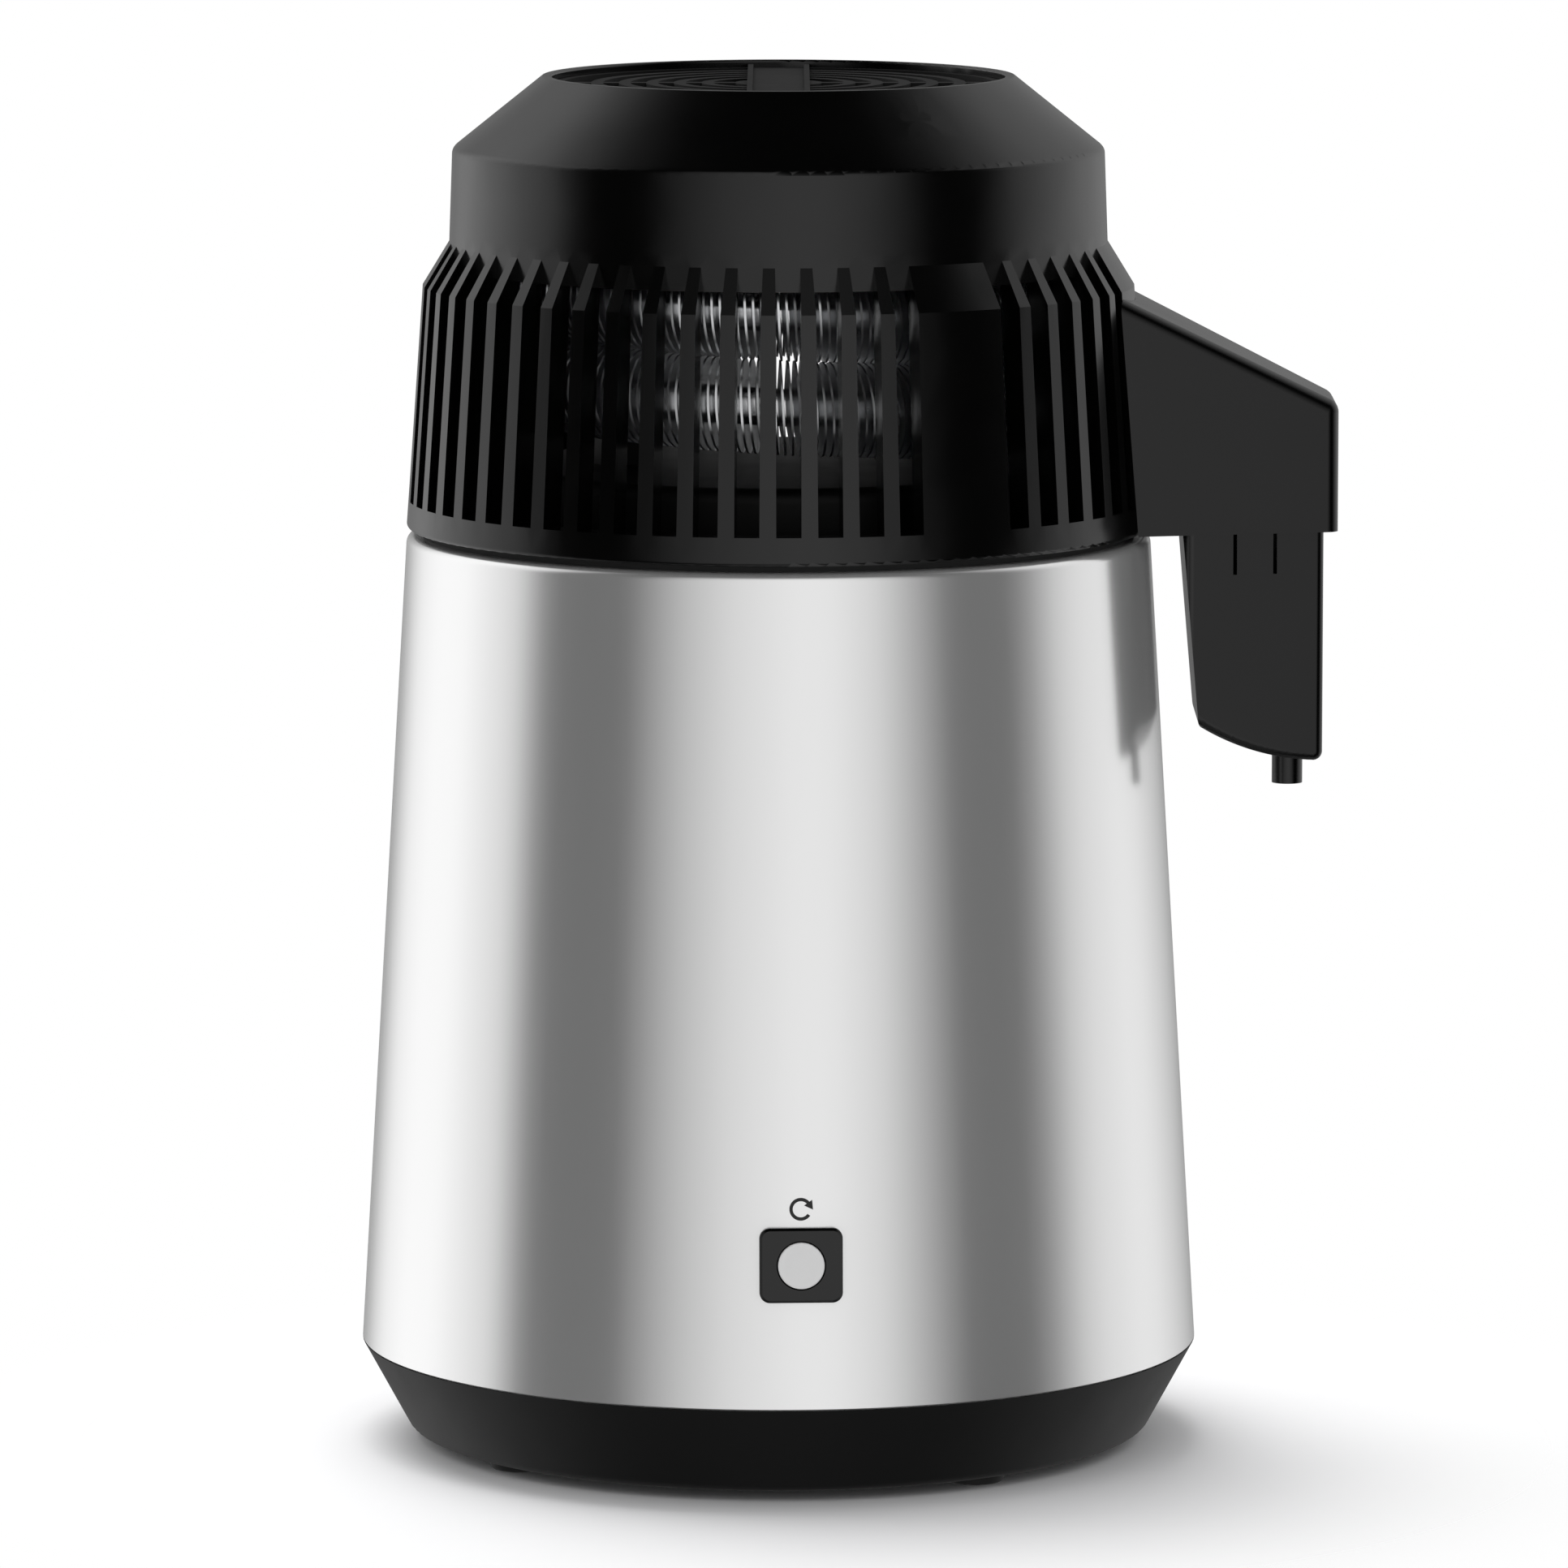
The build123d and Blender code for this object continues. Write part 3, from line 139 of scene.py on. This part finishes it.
def new_material(name, colour, roughness, metallic=0.0):
    """Principled material with its plain values set on the shader itself."""
    material = bpy.data.materials.new(name)
    material.use_nodes = True
    shader = material.node_tree.nodes["Principled BSDF"]
    shader.inputs["Base Color"].default_value = (*colour, 1.0)
    shader.inputs["Roughness"].default_value = roughness
    shader.inputs["Metallic"].default_value = metallic
    return material


def add_node(material, kind, **values):
    """New node with its inputs set by name."""
    node = material.node_tree.nodes.new(kind)
    for key, value in values.items():
        node.inputs[key.replace("_", " ").title()].default_value = value
    return node


def connect(material, source, output, target, socket):
    """Link from one node's output to another node's input."""
    material.node_tree.links.new(source.outputs[output], target.inputs[socket])


def object_noise(material, scale, detail=3.0, stretch=(1.0, 1.0, 1.0)):
    """Noise on Object coordinates, stretched along the axes that a finish runs along."""
    place = material.node_tree.nodes.new("ShaderNodeTexCoord")
    mapping = add_node(material, "ShaderNodeMapping", scale=stretch)
    noise = add_node(material, "ShaderNodeTexNoise", scale=scale, detail=detail)
    connect(material, place, "Object", mapping, "Vector")
    connect(material, mapping, "Vector", noise, "Vector")
    return noise


def vary_roughness(material, noise, low, high):
    """Roughness that follows a noise between two values."""
    spread = add_node(material, "ShaderNodeMapRange")
    spread.inputs["To Min"].default_value = low
    spread.inputs["To Max"].default_value = high
    connect(material, noise, "Fac", spread, "Value")
    connect(material, spread, "Result", material.node_tree.nodes["Principled BSDF"], "Roughness")


def vary_colour(material, noise, dark, light):
    """Base colour that follows a noise between two colours."""
    ramp = material.node_tree.nodes.new("ShaderNodeValToRGB")
    ramp.color_ramp.elements[0].position = 0.3
    ramp.color_ramp.elements[1].position = 0.7
    ramp.color_ramp.elements[0].color = (*dark, 1.0)
    ramp.color_ramp.elements[1].color = (*light, 1.0)
    connect(material, noise, "Fac", ramp, "Fac")
    connect(material, ramp, "Color", material.node_tree.nodes["Principled BSDF"], "Base Color")


def emboss(material, noise, strength, depth):
    """Small relief that follows a noise."""
    bump = add_node(material, "ShaderNodeBump", strength=strength, distance=depth)
    connect(material, noise, "Fac", bump, "Height")
    connect(material, bump, "Normal", material.node_tree.nodes["Principled BSDF"], "Normal")


def moulded_plastic(name, colour, smooth, rough, grain, gloss=0.5):
    """Moulded plastic: fine tool texture and a slightly uneven sheen."""
    material = new_material(name, colour, rough)
    material.node_tree.nodes["Principled BSDF"].inputs["Specular IOR Level"].default_value = gloss
    vary_roughness(material, object_noise(material, 60.0), smooth, rough)
    emboss(material, object_noise(material, 2600.0), grain, 0.00002)
    return material


def drawn_metal(name, colour, smooth, rough, stretch, grain, metallic=1.0):
    """Sheet or drawn metal: marks run along the way it was rolled, turned or drawn."""
    material = new_material(name, colour, rough, metallic)
    marks = object_noise(material, 400.0, stretch=stretch)
    vary_roughness(material, marks, smooth, rough)
    emboss(material, marks, grain, 0.00001)
    return material


even_marks = (1.0, 1.0, 1.0)
upright_marks = (1.0, 1.0, 0.02)
drawn_marks = (1.0, 1.0, 0.10)
stacked_marks = (0.1, 0.1, 4.0)
wound_marks = (0.2, 6.0, 0.2)


def rubber(name, colour):
    """Rubber or silicone: matt, with a fine moulded grain."""
    material = new_material(name, colour, 0.75)
    emboss(material, object_noise(material, 1800.0), 0.25, 0.00004)
    return material


head_plastic = moulded_plastic("satin_black_plastic", (0.0010, 0.0010, 0.0010), 0.17, 0.24, 0.03, 0.48)
base_plastic = moulded_plastic("matt_black_plastic", (0.0045, 0.0045, 0.0046), 0.44, 0.52, 0.12, 0.22)
grille_plastic = moulded_plastic("textured_black_plastic", (0.004, 0.004, 0.004), 0.58, 0.68, 0.30, 0.3)
fan_plastic = moulded_plastic("fan_plastic", (0.010, 0.010, 0.011), 0.35, 0.45, 0.06)
control_plastic = moulded_plastic("switch_plastic", (0.020, 0.020, 0.020), 0.40, 0.50, 0.10)
button_plastic = moulded_plastic("grey_button_plastic", (0.80, 0.80, 0.80), 0.34, 0.42, 0.04)
shell_steel = drawn_metal("satin_shell_steel", (0.93, 0.93, 0.93), 0.16, 0.21, upright_marks, 0.008, 0.77)
vessel_steel = drawn_metal("drawn_vessel_steel", (0.78, 0.78, 0.78), 0.24, 0.34, drawn_marks, 0.012, 0.75)
weld_steel = drawn_metal("weld_bead_steel", (0.52, 0.50, 0.47), 0.36, 0.52, even_marks, 0.60)
tube_steel = drawn_metal("bright_tube_steel", (0.72, 0.72, 0.73), 0.16, 0.24, even_marks, 0.05)
fin_aluminium = drawn_metal("rolled_fin_aluminium", (0.80, 0.81, 0.82), 0.24, 0.36, even_marks, 0.08)
heater_aluminium = drawn_metal("cast_heater_aluminium", (0.58, 0.58, 0.58), 0.45, 0.60, even_marks, 0.30)
element_sheath = drawn_metal("oxidised_element_sheath", (0.30, 0.28, 0.26), 0.45, 0.60, even_marks, 0.15)
plated_steel = drawn_metal("zinc_plated_steel", (0.66, 0.66, 0.63), 0.26, 0.38, even_marks, 0.08)
pin_brass = drawn_metal("bright_pin_brass", (0.76, 0.58, 0.28), 0.22, 0.32, even_marks, 0.06)
motor_iron = drawn_metal("oiled_motor_iron", (0.20, 0.20, 0.21), 0.42, 0.58, stacked_marks, 0.40)
winding_copper = drawn_metal("enamelled_winding", (0.50, 0.20, 0.08), 0.30, 0.42, wound_marks, 0.50)
foot_rubber = rubber("black_foot_rubber", (0.012, 0.012, 0.012))
# Painted shade: the gasket silicone is made black so that the gap between the head and the vessel reads dark
gasket_silicone = rubber("gasket_silicone_darkened_as_shade", (0.015, 0.015, 0.015))


def filter_fleece():
    """Non-woven bag: short pale fibres lying every way, with darker grains showing through."""
    material = new_material("filter_fleece", (0.78, 0.77, 0.73), 0.90)
    material.node_tree.nodes["Principled BSDF"].inputs["Sheen Weight"].default_value = 0.3
    vary_colour(material, object_noise(material, 420.0), (0.52, 0.51, 0.48), (0.84, 0.83, 0.79))
    emboss(material, object_noise(material, 1500.0, detail=6.0), 0.6, 0.0002)
    return material


def printed_ink():
    """Screen-printed black ink on the steel."""
    material = new_material("printed_black_ink", (0.010, 0.010, 0.010), 0.50)
    vary_roughness(material, object_noise(material, 900.0), 0.42, 0.55)
    return material


# Painted shade: black on the steel vapour dome and riser fitting, so the shadowed inside of the head below
# the coil reads dark
dome_painted_shade = moulded_plastic("dome_black_painted_shade", (0.003, 0.003, 0.003), 0.40, 0.50, 0.03, 0.2)
pod_fleece = filter_fleece()
black_ink = printed_ink()


# Making and placing pieces


def place_piece(name, shape, material, body, smooth_angle=35.0):
    """Turns a bmesh into an object that rides on a body, with edges sharper than an angle left crisp."""
    mesh = bpy.data.meshes.new(name)
    shape.to_mesh(mesh)
    shape.free()
    if "custom_normal" in mesh.attributes:
        mesh.attributes.remove(mesh.attributes["custom_normal"])
    mesh.shade_smooth()
    mesh.set_sharp_from_angle(angle=radians(smooth_angle))
    mesh.materials.append(material)
    piece = bpy.data.objects.new(name, mesh)
    bpy.context.scene.collection.objects.link(piece)
    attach(piece, body)
    return piece


def smooth_copy(node, material, body, smooth_angle=28.0):
    """Copy of a solid with its seams merged and its curved faces shaded smooth, standing for the solid."""
    shape = bmesh.new()
    shape.from_mesh(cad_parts[node].data)
    bmesh.ops.remove_doubles(shape, verts=shape.verts, dist=seam_gap)
    piece = place_piece(node + "_smooth", shape, material, body, smooth_angle)
    weighted = piece.modifiers.new("even_faces", "WEIGHTED_NORMAL")
    weighted.keep_sharp = True
    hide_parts(node)
    return piece


def paint_shade_outside(piece, shade_material):
    """Painted shade: a second, dark material on the faces that look up or away from the axis."""
    piece.data.materials.append(shade_material)
    for face in piece.data.polygons:
        away = Vector((face.center.x, face.center.y, 0))
        if face.normal.dot(away) > 0.00001 or face.normal.z > 0.5:
            face.material_index = 1


def take_modifiers(piece):
    """Makes what the modifiers give the piece's own mesh."""
    made = bpy.data.meshes.new_from_object(piece.evaluated_get(bpy.context.evaluated_depsgraph_get()))
    piece.modifiers.clear()
    piece.data = made


def spun(profile, steps):
    """Shape turned about Z from a profile of radius and height, with its faces pointing outwards."""
    shape = bmesh.new()
    points = [shape.verts.new((radius, 0, z)) for radius, z in profile]
    edges = [shape.edges.new(pair) for pair in zip(points, points[1:])]
    bmesh.ops.spin(shape, geom=points + edges, cent=(0, 0, 0), axis=(0, 0, 1), angle=2 * pi, steps=steps,
                   use_merge=True)
    bmesh.ops.remove_doubles(shape, verts=shape.verts, dist=0.000001)
    bmesh.ops.recalc_face_normals(shape, faces=shape.faces)
    return shape


def shell_radius_at(z):
    """Radius of the steel's outside at a height."""
    return shell_foot_radius - shell_slope * (z - shell_foot_z)


def cut_window(shape, azimuth, z, half_width, half_height):
    """Takes out the faces behind a plate, so that what passes through the shell has its hole."""
    level = Vector((-sin(azimuth), cos(azimuth), 0))
    outward = Vector((cos(azimuth), sin(azimuth), 0))
    inside = [face for face in shape.faces
              if face.calc_center_median().dot(outward) > 0
              and abs(face.calc_center_median().dot(level)) < half_width
              and abs(face.calc_center_median().z - z) < half_height]
    bmesh.ops.delete(shape, geom=inside, context="FACES")


def steel_shell():
    """Tapered steel skin with a rounded upper edge, turned in at the top."""
    windows = ((reset_azimuth, reset_z, *reset_window), (back_azimuth, inlet_z, *inlet_window),
               (back_azimuth, socket_z, *socket_window))
    levels = sorted(z + side * half for _, z, _, half in windows for side in (-1, 1))
    hem = [(shell_foot_radius - shell_hem, shell_foot_z), (shell_foot_radius, shell_foot_z + shell_hem)]
    wall = hem + [(shell_radius_at(z), z) for z in levels]
    centre_z = shell_top_z - shell_round
    centre_radius = shell_radius_at(centre_z) - shell_round
    edge = [(centre_radius + shell_round * cos(radians(turn)), centre_z + shell_round * sin(radians(turn)))
            for turn in range(4, 91, 8)]
    shape = spun(wall + edge + [(shell_lip_radius, shell_top_z)], shell_steps)
    for azimuth, z, half_width, half_height in windows:
        cut_window(shape, azimuth, z, half_width, half_height)
    bmesh.ops.solidify(shape, geom=shape.faces[:], thickness=shell_wall)
    piece = place_piece("steel_shell", shape, shell_steel, "boiler")
    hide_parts("outer_shell")


def vessel_weld():
    """Weld bead in the corner between the vessel's wall and its base."""
    wall = vessel_radius + weld_sink
    floor = vessel_floor_z - weld_sink
    turns = [pi / 2 * step / weld_steps for step in range(weld_steps + 1)]
    bead = [(wall - weld_size * cos(turn), floor + weld_size * sin(turn)) for turn in turns]
    shape = spun(bead + [(wall, floor), bead[0]], ring_steps)
    place_piece("vessel_weld", shape, weld_steel, "boiler")


def gap_shade_skirt():
    """Dark silicone band over the edge of the vessel's rim: painted shade that darkens the gap under the
    head.
    """
    outside = skirt_radius + skirt_wall
    profile = [(skirt_radius, skirt_foot_z), (outside, skirt_foot_z), (outside, skirt_top_z),
               (skirt_radius, skirt_top_z), (skirt_radius, skirt_foot_z)]
    place_piece("gap_shade_skirt", spun(profile, ring_steps), gasket_silicone, "head")


def on_shell(across, up):
    """Point of the steel's outside, measured from the reset button's middle line."""
    radius = shell_radius_at(up) + ink_proud
    azimuth = reset_azimuth + across / radius
    return radius * cos(azimuth), radius * sin(azimuth), up


def reset_symbol():
    """Ring with an arrow's head, printed over the reset button: the common sign for resetting."""
    inner = symbol_radius - symbol_stroke / 2
    outer = symbol_radius + symbol_stroke / 2
    shape = bmesh.new()
    ends = [shape.verts.new((radius, 0, 0)) for radius in (inner, outer)]
    stroke = shape.edges.new(ends)
    bmesh.ops.spin(shape, geom=ends + [stroke], cent=(0, 0, 0), axis=(0, 0, 1), angle=symbol_sweep, steps=48)
    head = bmesh.ops.create_circle(shape, cap_ends=True, segments=3, radius=arrow_radius)["verts"]
    bmesh.ops.rotate(shape, verts=head, cent=(0, 0, 0), matrix=Matrix.Rotation(pi, 3, "Z"))
    bmesh.ops.translate(shape, verts=head, vec=(symbol_radius, -arrow_drop, 0))
    bmesh.ops.rotate(shape, verts=shape.verts, cent=(0, 0, 0), matrix=Matrix.Rotation(symbol_turn, 3, "Z"))
    for vert in shape.verts:
        vert.co = on_shell(vert.co.x, symbol_z + vert.co.y)
    bmesh.ops.recalc_face_normals(shape, faces=shape.faces)
    place_piece("reset_symbol", shape, black_ink, "boiler")


def coil_fins():
    """Fins pressed on the condenser coil, one dished disc carried down the coil by a screw motion.

    Half a fin more than a whole number goes to a turn, so that neighbouring rows reach between each other.
    """
    sweep = 2 * pi * coil_turns
    end_azimuth = -asin(coil_bend / (coil_radius + coil_bend))
    count = int((sweep - 2 * fin_margin) / fin_spacing)
    step = (sweep - 2 * fin_margin) / count
    fall = coil_pitch / (2 * pi)
    shape = bmesh.new()
    bmesh.ops.create_circle(shape, segments=fin_sides, radius=fin_radius)
    root = bmesh.ops.create_circle(shape, segments=fin_sides, radius=tube_radius)["verts"]
    bmesh.ops.translate(shape, verts=root, vec=(0, 0, fin_dish))
    bmesh.ops.bridge_loops(shape, edges=shape.edges)
    bmesh.ops.recalc_face_normals(shape, faces=shape.faces)
    bmesh.ops.solidify(shape, geom=shape.faces[:], thickness=fin_thickness)
    start = end_azimuth - sweep + fin_margin
    tilt = Matrix.Rotation(pi / 2 + fall / coil_radius, 4, "X")
    place = (Matrix.Translation((0, 0, coil_foot_z + fall * (sweep - fin_margin)))
             @ Matrix.Rotation(start, 4, "Z") @ Matrix.Translation((coil_radius, 0, 0)) @ tilt)
    bmesh.ops.transform(shape, matrix=place, verts=shape.verts)
    bmesh.ops.spin(shape, geom=shape.verts[:] + shape.edges[:] + shape.faces[:], cent=(0, 0, 0),
                   axis=(0, 0, 1), dvec=(0, 0, -fall * step), angle=step * count, steps=count,
                   use_duplicate=True)
    piece = place_piece("coil_fins", shape, fin_aluminium, "head")
    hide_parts("condenser_fins")


def reset_spring():
    """Spring under the reset button, given a mesh of its own."""
    piece = smooth_copy("reset_spring", plated_steel, "boiler")
    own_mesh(piece)


def filter_bag():
    """Fleece bag of carbon grains, filled out by cloth pressure inside the solid's place."""
    low, high = (Vector(corner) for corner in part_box("filter_pod"))
    middle = (low + high) / 2
    shape = bmesh.new()
    shape.from_mesh(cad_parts["filter_pod"].data)
    bmesh.ops.remove_doubles(shape, verts=shape.verts, dist=seam_gap)
    bmesh.ops.scale(shape, verts=shape.verts, vec=bag_start, space=Matrix.Translation(-middle))
    bag = place_piece("filter_bag", shape, pod_fleece, "cup", 180.0)
    even = bag.modifiers.new("even_mesh", "REMESH")
    even.mode = "VOXEL"
    even.voxel_size = bag_mesh
    take_modifiers(bag)
    start = [vert.co.copy() for vert in bag.data.vertices]
    cloth = bag.modifiers.new("fleece", "CLOTH")
    cloth.settings.mass = bag_mass
    cloth.settings.use_pressure = True
    cloth.settings.uniform_pressure_force = bag_pressure
    cloth.settings.effector_weights.gravity = 0.0
    for moment in range(1, bag_moments + 1):
        bpy.context.scene.frame_set(moment)
    take_modifiers(bag)
    bpy.context.scene.frame_set(1)
    for vert, before in zip(bag.data.vertices, start):
        move = vert.co - before
        vert.co = before + move * min(1.0, bag_swell / max(move.length, 0.000001))
    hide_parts("filter_pod")


steel_shell()
vessel_weld()
gap_shade_skirt()
reset_symbol()
coil_fins()
reset_spring()
filter_bag()

smooth_nodes = (
    ("rubber_feet", foot_rubber, "boiler", "foot_rubber"),
    ("base_moulding", base_plastic, "boiler", "base_plastic"),
    ("boiling_vessel", vessel_steel, "boiler", "vessel_steel"),
    ("vessel_base", vessel_steel, "boiler", "vessel_steel"),
    ("reset_bezel", head_plastic, "boiler", "head_plastic"),
    ("reset_button", button_plastic, "reset_key", "button_plastic"),
    ("mains_inlet", base_plastic, "boiler", "base_plastic"),
    ("fan_socket", base_plastic, "boiler", "base_plastic"),
    ("inlet_screws", plated_steel, "boiler", "plated_steel"),
    ("lid_gasket", gasket_silicone, "head", "gasket_silicone"),
    ("spout_block", head_plastic, "head", "head_plastic"),
    ("top_grille", grille_plastic, "head", "head_plastic"),
    ("condenser_tube", tube_steel, "head", "tube_steel"),
    ("fan_lead_gland", foot_rubber, "head", "foot_rubber"),
    ("fan_impeller", fan_plastic, "fan", "fan_plastic"),
    ("drip_cup", head_plastic, "cup", "head_plastic"),
)
for node, material, body, slot in smooth_nodes:
    smooth_copy(node, material, body)
smooth_copy("head_housing", head_plastic, "head", 20.0)
# Painted shade on the vapour dome's outer faces
paint_shade_outside(smooth_copy("vapour_dome", vessel_steel, "head"), dome_painted_shade)

plain_nodes = {
    "vessel_studs": plated_steel, "stud_nuts": plated_steel, "heater_plate": heater_aluminium,
    "heating_element": element_sheath, "thermostat": control_plastic, "thermostat_clip": plated_steel,
    "clip_screws": plated_steel, "reset_switch": control_plastic,
    "inlet_pins": pin_brass, "socket_pins": pin_brass, "dome_screws": plated_steel,
    # Painted shade: the riser fitting takes the dome's black
    "spout_screws": plated_steel, "riser_fitting": dome_painted_shade, "outlet_grommet": gasket_silicone,
    "motor_spider": plated_steel, "spider_screws": plated_steel, "motor_spacers": plated_steel,
    "motor_stator": motor_iron, "motor_winding": winding_copper, "lower_bridge": plated_steel,
    "shaft_bushes": pin_brass, "motor_screws": plated_steel, "motor_rotor": motor_iron,
    "fan_shaft": tube_steel,
}
for node, material in plain_nodes.items():
    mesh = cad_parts[node].data
    mesh.materials.clear()
    mesh.materials.append(material)


# Floor, light and camera


def pale_floor():
    """Pale floor that fades into the white behind it, past the object's shadow."""
    shape = bmesh.new()
    bmesh.ops.create_grid(shape, x_segments=1, y_segments=1, size=floor_fade_to)
    bmesh.ops.translate(shape, verts=shape.verts, vec=floor_fade_centre)
    mesh = bpy.data.meshes.new("floor")
    shape.to_mesh(mesh)
    shape.free()
    material = new_material("pale_floor", (0.93, 0.93, 0.94), 0.9)
    nodes = material.node_tree.nodes
    nodes["Principled BSDF"].inputs["Specular IOR Level"].default_value = 0.0
    place = nodes.new("ShaderNodeTexCoord")
    reach = nodes.new("ShaderNodeVectorMath")
    reach.operation = "DISTANCE"
    reach.inputs[1].default_value = floor_fade_centre
    fade = nodes.new("ShaderNodeMapRange")
    fade.interpolation_type = "SMOOTHSTEP"
    fade.inputs["From Min"].default_value = floor_fade_from
    fade.inputs["From Max"].default_value = floor_fade_to
    clear = nodes.new("ShaderNodeBsdfTransparent")
    mix = nodes.new("ShaderNodeMixShader")
    connect(material, place, "Object", reach, 0)
    connect(material, reach, "Value", fade, "Value")
    connect(material, fade, "Result", mix, "Fac")
    connect(material, nodes["Principled BSDF"], "BSDF", mix, 1)
    connect(material, clear, "BSDF", mix, 2)
    connect(material, mix, "Shader", nodes["Material Output"], "Surface")
    mesh.materials.append(material)
    floor = bpy.data.objects.new("floor", mesh)
    floor.visible_glossy = False
    bpy.context.scene.collection.objects.link(floor)


def studio_world(ambient):
    """White behind the object for the camera and in reflections, and a softer light on the surfaces."""
    world = bpy.data.worlds.new("studio")
    bpy.context.scene.world = world
    world.use_nodes = True
    nodes = world.node_tree.nodes
    links = world.node_tree.links
    background = nodes["Background"]
    background.inputs["Color"].default_value = (1.0, 1.0, 1.0, 1.0)
    path = nodes.new("ShaderNodeLightPath")
    seen = nodes.new("ShaderNodeMath")
    seen.operation = "MAXIMUM"
    shown = nodes.new("ShaderNodeMath")
    shown.operation = "MAXIMUM"
    strength = nodes.new("ShaderNodeMapRange")
    strength.inputs["To Min"].default_value = ambient
    strength.inputs["To Max"].default_value = 1.0
    links.new(path.outputs["Is Camera Ray"], seen.inputs[0])
    links.new(path.outputs["Is Glossy Ray"], seen.inputs[1])
    links.new(seen.outputs["Value"], shown.inputs[0])
    links.new(path.outputs["Is Transmission Ray"], shown.inputs[1])
    links.new(shown.outputs["Value"], strength.inputs["Value"])
    links.new(strength.outputs["Result"], background.inputs["Strength"])


def soft_lamp(name, place, aim, size, power):
    """Round area lamp turned to a point, left out of reflections because the tent gives those."""
    light = bpy.data.lights.new(name, "AREA")
    light.shape = "DISK"
    light.size = size
    light.energy = power
    lamp = bpy.data.objects.new(name, light)
    lamp.location = place
    lamp.rotation_euler = (Vector(aim) - Vector(place)).to_track_quat("-Z", "Y").to_euler()
    lamp.visible_glossy = False
    bpy.context.scene.collection.objects.link(lamp)


def set_stops(ramp, stops):
    """Gives a colour ramp its grey stops, as pairs of place and shade."""
    for stop, (place, shade) in zip(ramp.elements, (stops[0], stops[-1])):
        stop.position = place
        stop.color = (shade, shade, shade, 1.0)
    for place, shade in stops[1:-1]:
        ramp.elements.new(place).color = (shade, shade, shade, 1.0)


def tent_cloth():
    """Cloths of the light tent: their brightness goes by the angle from the front and by the elevation."""
    material = bpy.data.materials.new("tent_cloth")
    material.use_nodes = True
    material.cycles.emission_sampling = "NONE"
    nodes = material.node_tree.nodes
    nodes.remove(nodes["Principled BSDF"])
    place = nodes.new("ShaderNodeTexCoord")
    facing = nodes.new("ShaderNodeMapping")
    facing.inputs["Rotation"].default_value = (0, 0, pi / 2)
    turn = nodes.new("ShaderNodeTexGradient")
    turn.gradient_type = "RADIAL"
    cloths = nodes.new("ShaderNodeValToRGB")
    set_stops(cloths.color_ramp, [(0.5 + angle / 360, shade) for angle, shade in tent_cloths])
    height = nodes.new("ShaderNodeSeparateXYZ")
    rise = nodes.new("ShaderNodeMapRange")
    rise.inputs["From Min"].default_value = -tent_radius
    rise.inputs["From Max"].default_value = tent_radius
    levels = nodes.new("ShaderNodeValToRGB")
    levels.color_ramp.interpolation = "EASE"
    set_stops(levels.color_ramp, [(0.5 + sin(radians(level)) / 2, shade) for level, shade in tent_levels])
    cloth = nodes.new("ShaderNodeEmission")
    connect(material, place, "Object", facing, "Vector")
    connect(material, facing, "Vector", turn, "Vector")
    connect(material, turn, "Fac", cloths, "Fac")
    connect(material, cloths, "Color", cloth, "Color")
    connect(material, place, "Object", height, "Vector")
    connect(material, height, "Z", rise, "Value")
    connect(material, rise, "Result", levels, "Fac")
    connect(material, levels, "Color", cloth, "Strength")
    connect(material, cloth, "Emission", nodes["Material Output"], "Surface")
    return material


def light_tent():
    """Tent of lit and dark cloths round the object, which only reflections see."""
    shape = bmesh.new()
    bmesh.ops.create_uvsphere(shape, u_segments=96, v_segments=48, radius=tent_radius)
    mesh = bpy.data.meshes.new("light_tent")
    shape.to_mesh(mesh)
    shape.free()
    mesh.materials.append(tent_cloth())
    tent = bpy.data.objects.new("light_tent", mesh)
    tent.visible_camera = False
    tent.visible_diffuse = False
    tent.visible_transmission = False
    tent.visible_shadow = False
    bpy.context.scene.collection.objects.link(tent)


def look_through_camera():
    """Camera at the photograph's distance, height and angle."""
    data = bpy.data.cameras.new("camera")
    data.sensor_width = camera_sensor
    data.lens = camera_lens
    data.clip_end = 50.0
    camera = bpy.data.objects.new("camera", data)
    camera.location = camera_place
    camera.rotation_euler = (pi / 2 - camera_pitch, 0, 0)
    bpy.context.scene.collection.objects.link(camera)
    bpy.context.scene.camera = camera


pale_floor()
studio_world(ambient_light)
soft_lamp("key_lamp", key_place, key_aim, key_size, key_power)
light_tent()
look_through_camera()

bpy.context.scene.view_settings.view_transform = "Standard"
